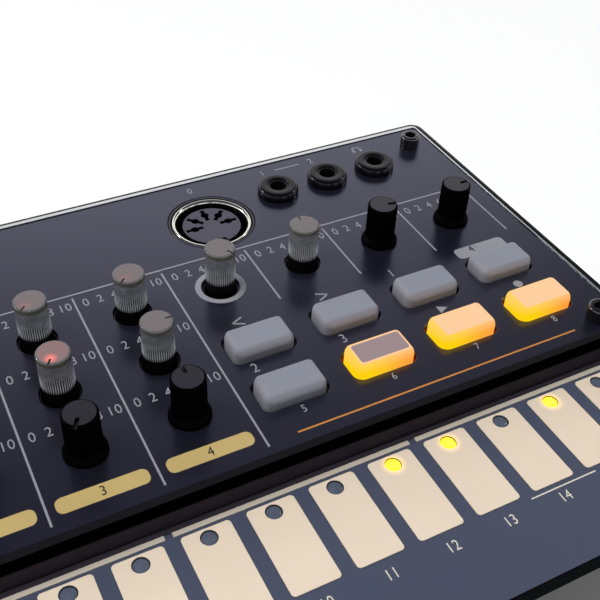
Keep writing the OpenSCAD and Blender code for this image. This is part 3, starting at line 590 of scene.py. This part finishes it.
# Notches and recesses painted dark as shade: grey in a clear knob, black in a black knob and in the data
# socket.
notch_shade = material("notch_shade", (0.075, 0.062, 0.062), 0.5, 0.1, 0.05, 300, 2600, 0.002)
recess_shade = material("recess_shade", (0.001, 0.001, 0.002), 0.5, 0.1, 0.05, 300, 2600, 0.002)
key_lamp = glow(material("key_lamp", (0.9, 0.4, 0.05), 0.3, 0.05, 0.04, 300, 2000, 0.002),
                (1.0, 0.32, 0.02), 1.6)
# Dim painted glow of the lamp's light on a lit key's flange under the panel.
key_ember = glow(material("key_ember", (0.02, 0.003, 0.001), 0.6, 0.1, 0.05, 300, 2000, 0.002),
                 (0.16, 0.008, 0.0), 1.0)
case_wall = wall_paint()
key_silicone = silicone_key()
key_lit = lit_silicone()
lamp_lit = lamp_lens()
pad_cream = pad_surface()
clear_body = clear_plastic()
clear_top = frosted_top("clear_top")


# ---- Case ----

KNOB_HOLE_R = 3.6
KEY_HOLE = (13.0, 7.6, 1.9)   # width, depth and corner radius
DIN_HOLE_R = 9.15
JACK_HOLE_R = 3.1
SCREW_HOLE_R = 1.35
SCREW_HEAD_R = 2.2
PANEL_R = 1.0


def screw_places():
    lo, hi = corners("panel_screws")
    half = (hi.x - lo.x) / 2 - SCREW_HEAD_R
    return [(sx * half, y) for sx in (-1, 1) for y in (lo.y + SCREW_HEAD_R, hi.y - SCREW_HEAD_R)]


def build_panel():
    """Top panel with a hole for every knob, key, socket and screw."""
    edge = 0.12
    holes = [disc(centre("knob_" + k).x, centre("knob_" + k).y, KNOB_HOLE_R) for k in KNOBS]
    holes += [rounded(p.x, p.y, *KEY_HOLE) for p in key_at.values()]
    holes += [disc(din.x, din.y, DIN_HOLE_R, 128)]
    holes += [disc(x, jack_row.y, JACK_HOLE_R) for x in jack_x]
    holes += [disc(x, y, SCREW_HOLE_R, 32) for x, y in screw_places()]
    bm = bmesh.new()
    plate(bm, outline_of("top_panel", PANEL_R), holes, PANEL_UNDER, PANEL_TOP, edge)
    make("panel_plate", bm, [panel_paint], replaces=["top_panel"], sharp=15)


def rim_distance(p, lo, hi):
    return min(p.x - lo.x, hi.x - p.x, p.y - lo.y, hi.y - p.y)


def build_upper_case():
    """Upper shell with a rounded outer rim, and a black wall and a dull lip at its step."""
    lo, hi = corners("upper_case")
    front = low("top_panel").y
    strip_rim = STRIP_TOP + hi.z - PANEL_TOP
    rounding = 0.85
    step_depth = 3
    flat = 0.98
    bm = cad_copy("upper_case")

    def outer_top(p, e):
        on_step = p.y < front - 1 and level(e, hi.z)
        on_rim = level(e, hi.z) or level(e, strip_rim)
        return on_step or on_rim and rim_distance(p, lo, hi) < rounding

    soften(bm, rounding, 6, outer_top)
    bmesh.ops.bisect_plane(bm, geom=bm.verts[:] + bm.edges[:] + bm.faces[:],
                           plane_co=(0, front, 0), plane_no=(0, 1, 0))
    surfaces = [case_gloss, case_wall, case_rim, case_lip]
    for face in bm.faces:
        face.normal_update()
        p = face.calc_center_median()
        on_step = front - step_depth < p.y < front and strip_rim - 1 < p.z
        surface = case_gloss
        if on_step and face.normal.y < -flat:
            surface = case_wall
        elif on_step and face.normal.z > flat:
            surface = case_lip
        elif p.y > front and p.z > hi.z - rounding:
            surface = case_rim
        face.material_index = surfaces.index(surface)
    make("upper_shell", bm, surfaces, replaces=["upper_case"])


def build_trim():
    """Bright metal band between the rim and the panel's sides and back, a little above the rim, as a
    painted highlight of the glossy rim.
    """
    lo, hi = corners("top_panel")
    gap = 0.03
    side_band = 0.42
    back_band = 0.9
    thickness = 0.1
    top = high("upper_case").z + 0.015
    mid_y = (lo.y + hi.y) / 2
    depth = hi.y - lo.y
    inner = rounded(0, mid_y, 2 * (hi.x + gap), depth + 2 * gap, PANEL_R)
    outer = rounded(0, mid_y, 2 * (hi.x + side_band), depth + 2 * back_band, PANEL_R + side_band)
    back_half = len(inner) // 2
    ends = [(outer[back_half - 1][0], lo.y), (inner[back_half - 1][0], lo.y)]
    loop = [(-ends[0][0], lo.y)] + outer[:back_half] + ends
    loop += inner[:back_half][::-1] + [(-ends[1][0], lo.y)]
    bm = bmesh.new()
    plate(bm, loop, [], top - thickness, top, 0.03)
    make("rim_highlight_band", bm, [rim_highlight_metal])


def build_lower_case():
    """Lower shell with its outer bottom edge rounded."""
    lo, hi = corners("lower_case")
    rounding = 0.8
    rim_width = 0.75
    bm = cad_copy("lower_case")
    soften(bm, rounding, 4, lambda p, e: level(e, lo.z) and rim_distance(p, lo, hi) < rim_width)
    make("lower_shell", bm, [case_matt], replaces=["lower_case"])


build_panel()
build_upper_case()
build_trim()
build_lower_case()


# ---- Touch strip ----

LAMP_HOLE_R = 1.45
LENS_R = 1.34
PAD_R = 0.7


def build_pads():
    """Pads, each with a hole for its lamp."""
    mid_y = (pads_low.y + pads_high.y) / 2
    depth = pads_high.y - pads_low.y
    bm = bmesh.new()
    for x in pad_x:
        plate(bm, rounded(x, mid_y, PAD_W, depth, PAD_R), [disc(x, lamp_y, LAMP_HOLE_R, 48)],
              pads_low.z, pads_high.z, 0.05)
    make("pad_faces", bm, [pad_cream], replaces=["touch_pads"])


def build_strip_board():
    """Printed board under the pads."""
    holes = [disc(x, lamp_y, LAMP_HOLE_R, 48) for x in pad_x]
    bm = bmesh.new()
    plate(bm, outline_of("strip_board", 1.0), holes, low("strip_board").z, STRIP_TOP, 0.08)
    make("strip_plate", bm, [strip_paint], replaces=["strip_board"], sharp=15)


def build_step_lamps():
    """Domed lens in every pad."""
    foot = low("step_leds").z
    top = pads_high.z - 0.02
    dome = 0.4
    pole = 0.001
    unlit = [i for i in range(STEPS) if i not in LIT_STEPS]
    for name, steps, lens in (("lamps_lit", LIT_STEPS, lamp_lit), ("lamps_off", unlit, lamp_off)):
        bm = bmesh.new()
        for i in steps:
            profile = [(pole, foot), (LENS_R, foot)] + arc(pole, top - dome, LENS_R, 0, 90, 6, dome)
            lathe(bm, pad_x[i], lamp_y, profile, 48)
        make(name, bm, [lens], replaces=["step_leds"])


def build_wall_lip():
    """The case's thin lip over the rear edge of the strip board."""
    lo, hi = corners("strip_board")
    front = high("beat_bars").y + 0.05
    thickness = 0.3
    bm = bmesh.new()
    plate(bm, [(lo.x, front), (hi.x, front), (hi.x, hi.y), (lo.x, hi.y)], [],
          STRIP_TOP, STRIP_TOP + thickness, 0.08)
    # The lip lies wholly in the wall paint's paler band, the painted reflection of the strip.
    make("wall_lip", bm, [case_wall])


build_pads()
build_strip_board()
build_step_lamps()
build_wall_lip()


# ---- Knobs ----

RIB_STEPS = (0.0, 0.6, 1.0, 0.6)   # share of the depth at the points of one rib
KNOB_FOOT = low("knob_tempo").z
FOOT_CHAMFER = 0.25

# Places in a knob's list of materials, after its body at 0.
NOTCH = 1
FACE = 2
FOOT = 3


def ribbed_ring(r, depth):
    """Loop of a fluted section, with the valleys of its ribs at the depth inside radius r."""
    count = RIBS * len(RIB_STEPS)
    loop = []
    for i in range(count):
        a = 2 * pi * i / count
        rr = r - depth * RIB_STEPS[i % len(RIB_STEPS)]
        loop.append((rr * cos(a), rr * sin(a)))
    return loop


def knob_solid(profile, r, top, rim):
    """Solid through rings of (radius, rib depth, z) that ends in a rounded rim of radius r."""
    profile = profile + [(rr, 0, z) for rr, z in round_over(r, top, rim, 4)[1:]]
    bm = bmesh.new()
    loft(bm, [(ribbed_ring(rr, depth), z) for rr, depth, z in profile])
    return bm


def cut_notch(bm, inner, outer, width, top, depth):
    """Cuts the pointer's notch into the top, from radius inner to beyond the rim, towards +Y."""
    near = 0.001
    slot = bmesh.new()
    prism(slot, rounded(0, (inner + outer) / 2, width, outer - inner, width * 0.3, 3),
          top - depth, top + depth)
    body = add_object("turned", outward_mesh("turned", bm))
    cutter = add_object("cutter", outward_mesh("cutter", slot))
    cut = body.modifiers.new("notch", "BOOLEAN")
    cut.operation = "DIFFERENCE"
    cut.object = cutter
    cut.solver = "EXACT"
    bpy.context.view_layer.update()
    result = bpy.data.meshes.new_from_object(
        body.evaluated_get(bpy.context.evaluated_depsgraph_get()))
    notched = bmesh.new()
    notched.from_mesh(result)
    for mesh in (body.data, cutter.data, result):
        bpy.data.meshes.remove(mesh)   # takes its object away too
    for face in notched.faces:
        p = face.calc_center_median()
        inside = abs(p.x) < width / 2 + near and p.y > inner - near
        face.normal_update()
        if inside and top - depth - near < p.z < top - near:
            face.material_index = NOTCH
        elif p.z > top - 0.01 and face.normal.z > 0.99:
            face.material_index = FACE
    return notched


def clear_knob_mesh():
    """Ribbed shaft, a smooth cap above it and a flat top with a bevelled rim."""
    r = 2.9
    rib = 0.2
    bevel = 0.35
    top = CLEAR_TOP
    cap = top - 2.6
    foot_end = PANEL_TOP + CLEAR_SHADE_HEIGHT
    profile = [(r - FOOT_CHAMFER, 0, KNOB_FOOT), (r, 0, KNOB_FOOT + FOOT_CHAMFER),
               (r, rib, PANEL_TOP - 0.4), (r, rib, foot_end), (r, rib, cap - 0.8),
               (r, 0, cap), (r, 0, top - bevel)]
    notched = cut_notch(knob_solid(profile, r, top, bevel),
                        inner=1.6, outer=3.4, width=0.36, top=top, depth=0.3)
    # Painted shade: the faces below foot_end get the dark foot material.
    paint_below(notched, foot_end, FOOT)
    return notched


def black_knob_mesh():
    """Finely ribbed grip with a flared skirt at its foot."""
    r = 3.0
    shaft_r = 2.9
    skirt_r = 3.65
    rib = 0.14
    rim = 0.4
    top = high("knob_volume").z
    skirt = PANEL_TOP + 0.2
    profile = [(shaft_r - FOOT_CHAMFER, 0, KNOB_FOOT), (shaft_r, 0, KNOB_FOOT + FOOT_CHAMFER),
               (shaft_r, 0, skirt), (skirt_r - 0.12, 0, skirt),
               (skirt_r, 0, skirt + 0.12), (skirt_r, 0, skirt + 0.5),
               (skirt_r - 0.15, 0, skirt + 0.75), (r + 0.14, 0, skirt + 1.15),
               (r, rib / 2, skirt + 1.5), (r, rib, skirt + 1.9),
               (r, rib, top - 0.8), (r, 0, top - 0.5)]
    return cut_notch(knob_solid(profile, r, top, rim),
                     inner=1.0, outer=3.5, width=0.72, top=top, depth=0.45)


def build_knobs():
    """Knobs, each turned to its own angle."""
    clear = [clear_body, notch_shade, clear_top, clear_foot_shade]
    black = [knob_black, recess_shade, knob_face]
    for kind, shape, surfaces, knobs in (("clear", clear_knob_mesh(), clear, CLEAR_KNOBS),
                                         ("black", black_knob_mesh(), black, BLACK_KNOBS)):
        shared = finished_mesh(kind + "_knob", shape, surfaces, 40)
        for name, angle in knobs.items():
            node = "knob_" + name
            mesh = shared.copy()
            if name in GLOWING_KNOBS:
                mesh.materials[FACE] = frosted_top("top_" + name, GLOWING_KNOBS[name])
            piece = place_piece(node + "_cap", mesh, node, [node])
            at = centre(node)
            piece.location = (at.x * MM, at.y * MM, 0)
            piece.rotation_euler = (0, 0, radians(angle))


build_knobs()


# ---- Keys ----

KEY_W = 11.7
KEY_D = 7.0
KEY_R = 1.6
KEY_TOP_R = 0.75
FLANGE_REACH = 1.0
KEY_FLANGE_TOP = PANEL_UNDER - 0.2
KEY_FLANGE_UNDER = KEY_FLANGE_TOP - 1.2
# A key's side goes through these: distance in from its foot, and height over the panel.
KEY_RISE = [(0.0, 1.05), (0.03, 1.25), (0.1, 1.5), (0.22, 1.8), (0.38, 2.08), (0.54, 2.3),
            (0.66, 2.43), (0.78, 2.51), (0.92, 2.545), (1.05, 2.55)]
# Factors of that distance at a key's ends, and at its front and back.
SIDE_SLOPE = 0.9
FRONT_SLOPE = 1.15


def key_shape():
    """Key on its flange, from the foot of the flange to a flat top; z is 0 at the panel's top."""
    flange = rounded(0, 0, KEY_W + 2 * FLANGE_REACH, KEY_D + 2 * FLANGE_REACH, KEY_R)
    foot = rounded(0, 0, KEY_W, KEY_D, KEY_R)
    edge = KEY_FLANGE_TOP - PANEL_TOP
    corner_end = 0.5
    sections = [(flange, KEY_FLANGE_UNDER - PANEL_TOP), (flange, edge), (foot, edge + 0.02)]
    for inset, z in KEY_RISE:
        r = KEY_R - (KEY_R - KEY_TOP_R) * min(1, inset / corner_end)
        width = KEY_W - 2 * inset * SIDE_SLOPE
        depth = KEY_D - 2 * inset * FRONT_SLOPE
        sections.append((rounded(0, 0, width, depth, r), z))
    bm = bmesh.new()
    loft(bm, sections)
    # The flange under the panel takes the second material: painted shade on unlit keys, a dim painted
    # glow on lit ones.
    paint_below(bm, PANEL_UNDER - PANEL_TOP)
    return bm


def build_film(node, at):
    """Thin film on a key's flat top."""
    width = KEY_W - 1.95
    depth = KEY_D - 2.5
    thickness = 0.03
    sunk = 0.02
    bm = bmesh.new()
    plate(bm, rounded(0, 0, width, depth, 0.5), [], 0, thickness, 0.01)
    film = make(node + "_film", bm, [key_film], body=node)
    film.location = (at.x * MM, at.y * MM, (high(node).z - sunk) * MM)


def build_keys():
    """Keys with the stems under them; lit keys glow."""
    stem_r = 1.5
    for name in KEYS:
        node = "key_" + name
        at = key_at[name]
        lit = name in LIT_KEYS
        surfaces = [key_lit, key_ember] if lit else [key_silicone, key_under_shade]
        piece = make(node + "_cap", key_shape(), surfaces, body=node,
                     replaces=[node], sharp=60)
        piece.location = (at.x * MM, at.y * MM, PANEL_TOP * MM)
        bm = bmesh.new()
        prism(bm, disc(at.x, at.y, stem_r, 32), low(node).z, KEY_FLANGE_UNDER + 0.1)
        make(node + "_stem", bm, [key_under_shade], body=node, replaces=[node])
        if name == "step_mode":
            build_film(node, at)


build_keys()


# ---- Sockets ----

def build_socket_ring():
    """Rolled chrome ring of the data socket, in a thin bezel."""
    ring_top = high("midi_shell").z
    ring_r = 8.3
    lip_r = 8.05
    throat_r = 7.45
    roll = 0.75
    throat = ring_top - roll
    profile = [(throat_r, BOARD_TOP), (ring_r, BOARD_TOP)] + round_over(ring_r, ring_top, 0.2, 4)
    profile += arc(lip_r, throat, lip_r - throat_r, 90, 90, 6, roll)[1:]
    bm = bmesh.new()
    lathe(bm, din.x, din.y, profile, 128)
    # Painted shade: the ring's throat below its roll is black.
    paint_below(bm, throat + 0.02)
    make("socket_ring", bm, [chrome, recess_shade], replaces=["midi_shell"])

    bore_r = 8.6
    bezel_r = 9.0
    bezel_top = PANEL_TOP - 0.05
    edge = 0.08
    profile = [(bore_r, BOARD_TOP), (bezel_r, BOARD_TOP)] + round_over(bezel_r, bezel_top, edge, 3)
    profile += round_in(bore_r, bezel_top, edge, 3)
    bm = bmesh.new()
    lathe(bm, din.x, din.y, profile, 128)
    make("socket_bezel", bm, [bezel_grey])


def build_socket_core():
    """Insulator of the data socket, with a key slot at its front and five pin holes."""
    top = high("midi_insert").z
    r = 6.1
    thickness = 4
    slot_half = 1.3
    slot_end_half = 0.9
    slot_depth = 1.2
    pin_circle_r = 3.75
    base_r = 7.4
    base_height = 2
    slot_angle = degrees(asin(slot_half / r))
    outline = arc(din.x, din.y, r, slot_angle - 90, 360 - 2 * slot_angle, 96)
    outline += [(din.x + side * slot_end_half, din.y - r + slot_depth) for side in (-1, 1)]
    pins = arc(din.x, din.y, pin_circle_r, 0, 180, 4)
    holes = [pin_hole(x, y, 45 * i) for i, (x, y) in enumerate(pins)]
    bm = bmesh.new()
    plate(bm, outline, holes, top - thickness, top, 0.1)
    prism(bm, disc(din.x, din.y, base_r, 96), BOARD_TOP, BOARD_TOP + base_height)
    # Painted shade: the insulator's sides below its top are black.
    paint_below(bm, top - 0.15)
    make("socket_core", bm, [socket_grey, recess_shade], replaces=["midi_insert"])


def pin_hole(x, y, angle):
    """Round pin hole with a slit that runs out from both of its sides."""
    r = 0.85
    slit = 0.38
    reach = 1.85
    flare = 1.2
    start = degrees(asin(slit / r))
    loop = []
    for way in (1, -1):
        loop += arc(0, 0, way * r, start, 180 - 2 * start, 8)
        loop += [(-way * reach, way * slit * flare), (-way * reach, -way * slit * flare)]
    return turned(loop, x, y, angle)


def build_jack_nuts():
    """Round nuts with a flat top ring and a rounded shoulder."""
    top = high("jack_nuts").z
    thread_r = 3.05
    lip_r = 2.3
    lip_z = high("jack_bodies").z + 0.03
    flat_r = 3.7
    shoulder = 1.25
    chamfer = 0.15
    profile = [(thread_r, PANEL_TOP), (NUT_R - chamfer, PANEL_TOP), (NUT_R, PANEL_TOP + chamfer)]
    profile += arc(flat_r, top - shoulder, NUT_R - flat_r, 0, 90, 8, shoulder)
    profile += round_in(lip_r, top, 0.12, 3)
    profile += [(lip_r, lip_z), (thread_r, lip_z)]
    bm = bmesh.new()
    for x in jack_x:
        lathe(bm, x, jack_row.y, profile, 96)
    make("socket_nuts", bm, [nut_black], replaces=["jack_nuts"])


build_socket_ring()
build_socket_core()
build_jack_nuts()


# ---- Screws, feet, door and button ----

def hexagon(x, y, r, steps):
    """Hexagon of corner radius r, with as many points as the circles that it is lofted to."""
    loop = []
    for i in range(steps):
        a = 2 * pi * i / steps
        rr = r * cos(pi / 6) / cos(a % (pi / 3) - pi / 6)
        loop.append((x + rr * cos(a), y + rr * sin(a)))
    return loop


def build_cap_screws():
    """Socket-head cap screws with a rounded shoulder and a hexagon recess."""
    top = high("panel_screws").z
    tip = low("panel_screws").z
    shank_r = 1.15
    point = 0.3
    recess_r = 1.25
    recess = 1.6
    chamfer = 0.2
    steps = 48
    profile = [(shank_r - point, tip), (shank_r, tip + point), (shank_r, PANEL_TOP),
               (SCREW_HEAD_R, PANEL_TOP)] + round_over(SCREW_HEAD_R, top, 0.5)
    bm = bmesh.new()
    for x, y in screw_places():
        sections = [(disc(x, y, r, steps), z) for r, z in profile]
        sections += [(hexagon(x, y, recess_r + chamfer, steps), top - 0.02),
                     (hexagon(x, y, recess_r, steps), top - chamfer),
                     (hexagon(x, y, recess_r, steps), top - recess)]
        loft(bm, sections)
    make("cap_screws", bm, [screw_black], replaces=["panel_screws"])


def build_softened():
    """Pieces that keep their CAD shape and get the edges at one end rounded."""
    for name, node, size, end, axis, surface, body, slot in (
            ("pot_collars", "pot_bodies", 0.15, high, "z", collar_black, "case", "black_plastic"),
            ("feet", "rubber_feet", 0.5, low, "z", rubber, "case", "foot_rubber"),
            ("bottom_screws", "case_screws", 0.25, low, "z", screw_black, "case", "black_screw"),
            ("bay_door", "battery_door", 0.35, low, "z", case_matt, "battery_door", "lower_case"),
            ("rear_button", "power_button", 0.4, high, "y", knob_black, "power_button",
             "black_plastic")):
        place = getattr(end(node), axis)
        bm = cad_copy(node)
        soften(bm, size, 3, lambda p, e: level(e, place, axis))
        make(name, bm, [surface], body=body, replaces=[node])


build_cap_screws()
build_softened()


# ---- Print ----

INK = 0.02
DIGIT_CAP = 0.7      # height of a digit as a share of the font's size
DIGIT_WIDTH = 0.82   # the digits are narrowed to this
DIGIT_SPACING = 1.1
LABEL_UP = 6.2
SCALE = (0, 2, 4, 6, 8, 10)
SCALE_PITCH = 2.76


def stamp(bm, loop, z):
    """Printed area lying on height z."""
    prism(bm, loop, z, z + INK)


def bar(bm, x0, y0, x1, y1, z, width):
    """Straight printed line."""
    a = Vector((x0, y0))
    b = Vector((x1, y1))
    half = (b - a).orthogonal().normalized() * width / 2
    stamp(bm, [tuple(a - half), tuple(b - half), tuple(b + half), tuple(a + half)], z)


def number(bm, text, x, y, z, height):
    """Plain narrow digits lying flat, with their middle at x, y."""
    curve = bpy.data.curves.new("digits", "FONT")
    curve.body = str(text)
    curve.size = height / DIGIT_CAP
    curve.align_x = "CENTER"
    curve.align_y = "CENTER"
    curve.space_character = DIGIT_SPACING
    curve.extrude = INK / 2
    narrow = Matrix.Diagonal((DIGIT_WIDTH, 1, 1, 1))
    add_curve(bm, curve, Matrix.Translation((x, y, z + INK / 2)) @ narrow)


def chevron(bm, x, y, z, way):
    """An angle bracket that points to +X or -X."""
    for side in (1, -1):
        bar(bm, x - 1.1 * way, y + side, x + 1.1 * way, y, z, 0.34)


def headphones(bm, x, y, z):
    """Outline of a pair of headphones."""
    stamp(bm, arc(x, y, 1.15, 0, 180, 16) + arc(x, y, 0.85, 0, 180, 16)[::-1], z)
    for side in (-1, 1):
        stamp(bm, rounded(x + side * 0.9, y - 0.4, 0.62, 1.1, 0.25, 4), z)


def print_dividers(bm):
    """A line behind the knobs and one on each side of every column, short at the right."""
    line_y = 30.35
    gap = 1.0
    end_gap = 1.2
    short_end = 13.0
    long_end = -18.8
    first_short = 7
    width = 0.36
    dividers = [x - COL_PITCH / 2 for x in col_x] + [col_x[-1] + COL_PITCH / 2]
    bar(bm, dividers[0], line_y, dividers[-1] - end_gap, line_y, PANEL_TOP, width)
    for i, x in enumerate(dividers):
        bar(bm, x, line_y - gap, x, short_end if i >= first_short else long_end, PANEL_TOP, width)


def print_knob_labels(bm):
    """Plain numbers behind every knob, from 0 at the left to 10 at the right, and one ring."""
    for name in KNOBS:
        at = centre("knob_" + name)
        for i, value in enumerate(SCALE):
            x = at.x + SCALE_PITCH * (i - (len(SCALE) - 1) / 2)
            number(bm, value, x, at.y + LABEL_UP, PANEL_TOP, 2.1)
    outer = 4.9
    inner = 3.8
    at = centre("knob_sample_speed")
    lathe(bm, at.x, at.y, [(inner, PANEL_TOP), (outer, PANEL_TOP),
                           (outer, PANEL_TOP + INK), (inner, PANEL_TOP + INK)], 96)


def print_key_labels(bm):
    """Numbers and plain symbols behind the keys, and numbers in front of four of them."""
    z = PANEL_TOP
    left = 3.4
    up = 6.8
    down = 5.3
    for i, name in enumerate(["mute", "memory", "step_mode"]):
        number(bm, i + 1, key_at[name].x - left, key_at[name].y + up, z, 2.2)
    for i, name in enumerate(["memory", "step_mode", "play", "record"]):
        number(bm, i + 5, key_at[name].x, key_at[name].y - down, z, 1.6)
    bracket_left = 1.2
    bracket_up = 6.6
    for name, way in (("previous", -1), ("next", 1)):
        chevron(bm, key_at[name].x - bracket_left, key_at[name].y + bracket_up, z, way)
    triangle = [(-0.9, 5.1), (1.1, 6.1), (-0.9, 7.1)]
    spot = disc(0, 6.0, 0.95, 40)
    tag = rounded(0, 6.25, 11.9, 3.2, 1.0)
    for name, loop in (("play", triangle), ("record", spot), ("function", tag)):
        stamp(bm, turned(loop, key_at[name].x, key_at[name].y, 0), z)


def print_socket_labels(bm):
    """Two numbers joined by a line, headphones, and a 0 at the data socket."""
    y = jack_row.y + 8.0
    data_up = 12
    gap = 3
    size = 1.9
    for i, x in enumerate(jack_x[:2]):
        number(bm, i + 1, x, y, PANEL_TOP, size)
    bar(bm, jack_x[0] + gap, y, jack_x[1] - gap, y, PANEL_TOP, 0.3)
    headphones(bm, jack_x[2], y, PANEL_TOP)
    number(bm, 0, din.x, din.y + data_up, PANEL_TOP, size)


def print_tags(yellow, dark):
    """Yellow tags with dark numbers, and the number on the function key's tag."""
    tag_y = -15.75
    for i, x in enumerate(col_x[2:6]):
        stamp(yellow, rounded(x, tag_y, 14.9, 3.1, 1.2), PANEL_TOP)
        number(dark, i + 1, x, tag_y, PANEL_TOP + INK, 1.9)
    at = key_at["function"]
    number(dark, 4, at.x - 2, at.y + 6.7, PANEL_TOP + INK, 2.0)


def print_orange_line(bm):
    left = 25.1
    right = 83.4
    y = -18.05
    bar(bm, left, y, right, y, PANEL_TOP, 0.34)


def print_strip(bm):
    """A number in front of every pad, and a short line."""
    number_y = pads_low.y - 2.9
    line_y = pads_low.y - 0.9
    left = 55.7
    right = 69.2
    for i, x in enumerate(pad_x):
        number(bm, i + 1, x, number_y, STRIP_TOP, 1.9)
    bar(bm, left, line_y, right, line_y, STRIP_TOP, 0.25)


def build_prints():
    grey, yellow, dark, orange, cream = [bmesh.new() for _ in range(5)]
    print_dividers(grey)
    print_knob_labels(grey)
    print_key_labels(grey)
    print_socket_labels(grey)
    print_tags(yellow, dark)
    print_orange_line(orange)
    print_strip(cream)
    for name, bm, ink in (("print_grey", grey, ink_grey), ("print_yellow", yellow, ink_yellow),
                          ("print_dark", dark, ink_dark), ("print_orange", orange, ink_orange),
                          ("print_cream", cream, ink_cream)):
        make(name, bm, [ink], sharp=20)


build_prints()


# ---- Materials of the carried-over pieces ----

CARRIED = {
    "main_board": board_green, "beat_bars": bar_cream, "key_leds": key_lamp, "knob_leds": knob_lamp,
    "tact_switches": chip_black, "key_mat": mat_rubber, "midi_contacts": brass,
    "jack_bodies": jack_plastic, "dc_jack": jack_plastic, "power_switch": chip_black,
    "batteries": cell_sleeve, "battery_springs": steel, "battery_plates": steel,
    "speaker_frame": speaker_grey, "speaker_cone": cone_paper, "standoffs": brass,
    "board_screws": steel, "strip_ribbon": ribbon_grey, "board_components": chip_black,
}
for node, surface in CARRIED.items():
    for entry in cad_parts[node].material_slots:
        entry.material = surface


# ---- Camera, light and floor ----

LIGHT_AIM = Vector((0.02, 0.02, 0.03))
WHITE = (1.0, 1.0, 1.0)


def build_camera():
    """The photograph's camera: its place, its three axes and its lens."""
    eye = Vector((-25.36, -106.23, PANEL_TOP + 117.16)) * MM
    right = Vector((0.88749, -0.45911, 0.0396))
    up = Vector((0.27546, 0.59744, 0.75312))
    ahead = Vector((0.36942, 0.65748, -0.65669))
    data = bpy.data.cameras.new("camera")
    data.lens = 56.24
    data.sensor_width = 36
    data.clip_start = 0.005
    data.clip_end = 20
    camera = add_object("camera", data)
    camera.matrix_world = Matrix.Translation(eye) @ Matrix((right, up, -ahead)).transposed().to_4x4()
    bpy.context.scene.camera = camera


def background_rays(tree):
    """1 for rays from the camera, from a mirror or through glass, and 0 for light on a surface."""
    path = add_node(tree, "LightPath").outputs
    seen = maths(tree, "MAXIMUM", path["Is Camera Ray"], path["Is Glossy Ray"])
    return maths(tree, "MAXIMUM", seen, path["Is Transmission Ray"])


def build_world():
    """White surroundings, with a dim ceiling that the camera's own rays miss, and softer light."""
    world = bpy.data.worlds.new("studio")
    bpy.context.scene.world = world
    world.use_nodes = True
    tree = world.node_tree
    tree.nodes.clear()
    to_rear = position_along(tree, (0.32, 1, 0), "Generated")
    rear = ramp_between(tree, to_rear, 0.67, 0.905, shape="SMOOTHSTEP")
    height = parts_of(tree, coordinate(tree, "Generated"))[2]
    camera_ray = add_node(tree, "LightPath").outputs["Is Camera Ray"]
    reflected = maths(tree, "SUBTRACT", 1, camera_ray)
    above = maths(tree, "MULTIPLY", ramp_between(tree, height, 0.25, 0.5), reflected)
    ceiling = blend_colours(tree, rear, (0.045, 0.05, 0.065), WHITE)
    colour = blend_colours(tree, above, WHITE, ceiling)
    ambient = add_node(tree, "Background", Color=(0.94, 0.97, 1.0, 1), Strength=0.42)
    seen = add_node(tree, "Background", Color=colour, Strength=1)
    mix = blend_shaders(tree, background_rays(tree), ambient.outputs[0], seen.outputs[0])
    add_node(tree, "OutputWorld", Surface=mix)


def build_floor():
    """Pale paper that looks almost white and can be seen through from below."""
    mat = bpy.data.materials.new("floor")
    mat.use_nodes = True
    tree = mat.node_tree
    tree.nodes.clear()
    white_share = 0.72
    half_size = 4
    paper = add_node(tree, "BsdfDiffuse", Color=(0.93, 0.93, 0.93, 1)).outputs[0]
    white = add_node(tree, "Emission", Color=(*WHITE, 1), Strength=1).outputs[0]
    share = maths(tree, "MULTIPLY", background_rays(tree), white_share)
    below = add_node(tree, "NewGeometry").outputs["Backfacing"]
    nothing = add_node(tree, "BsdfTransparent").outputs[0]
    surface = blend_shaders(tree, below, blend_shaders(tree, share, paper, white), nothing)
    add_node(tree, "OutputMaterial", Surface=surface)
    mesh = bpy.data.meshes.new("floor")
    corners = [(sx * half_size, sy * half_size, 0) for sx, sy in ((-1, -1), (1, -1), (1, 1), (-1, 1))]
    mesh.from_pydata(corners, [], [(0, 1, 2, 3)])
    mesh.materials.append(mat)
    add_object("floor", mesh)


def build_light(name, place, size, watts):
    """Round area light that looks at the object."""
    data = bpy.data.lights.new(name, "AREA")
    data.shape = "DISK"
    data.size = size
    data.energy = watts
    light = add_object(name, data)
    light.location = place
    light.rotation_euler = (LIGHT_AIM - Vector(place)).to_track_quat("-Z", "Y").to_euler()
    return light


build_camera()
build_world()
build_floor()
build_light("main", (-0.18, 0.05, 0.65), 0.35, 3.4).visible_glossy = False
build_light("rear_left", (-0.55, 0.45, 0.3), 0.12, 0.9)
build_light("right", (0.5, 0.02, 0.35), 0.06, 0.25)

bpy.context.scene.view_settings.view_transform = "Standard"
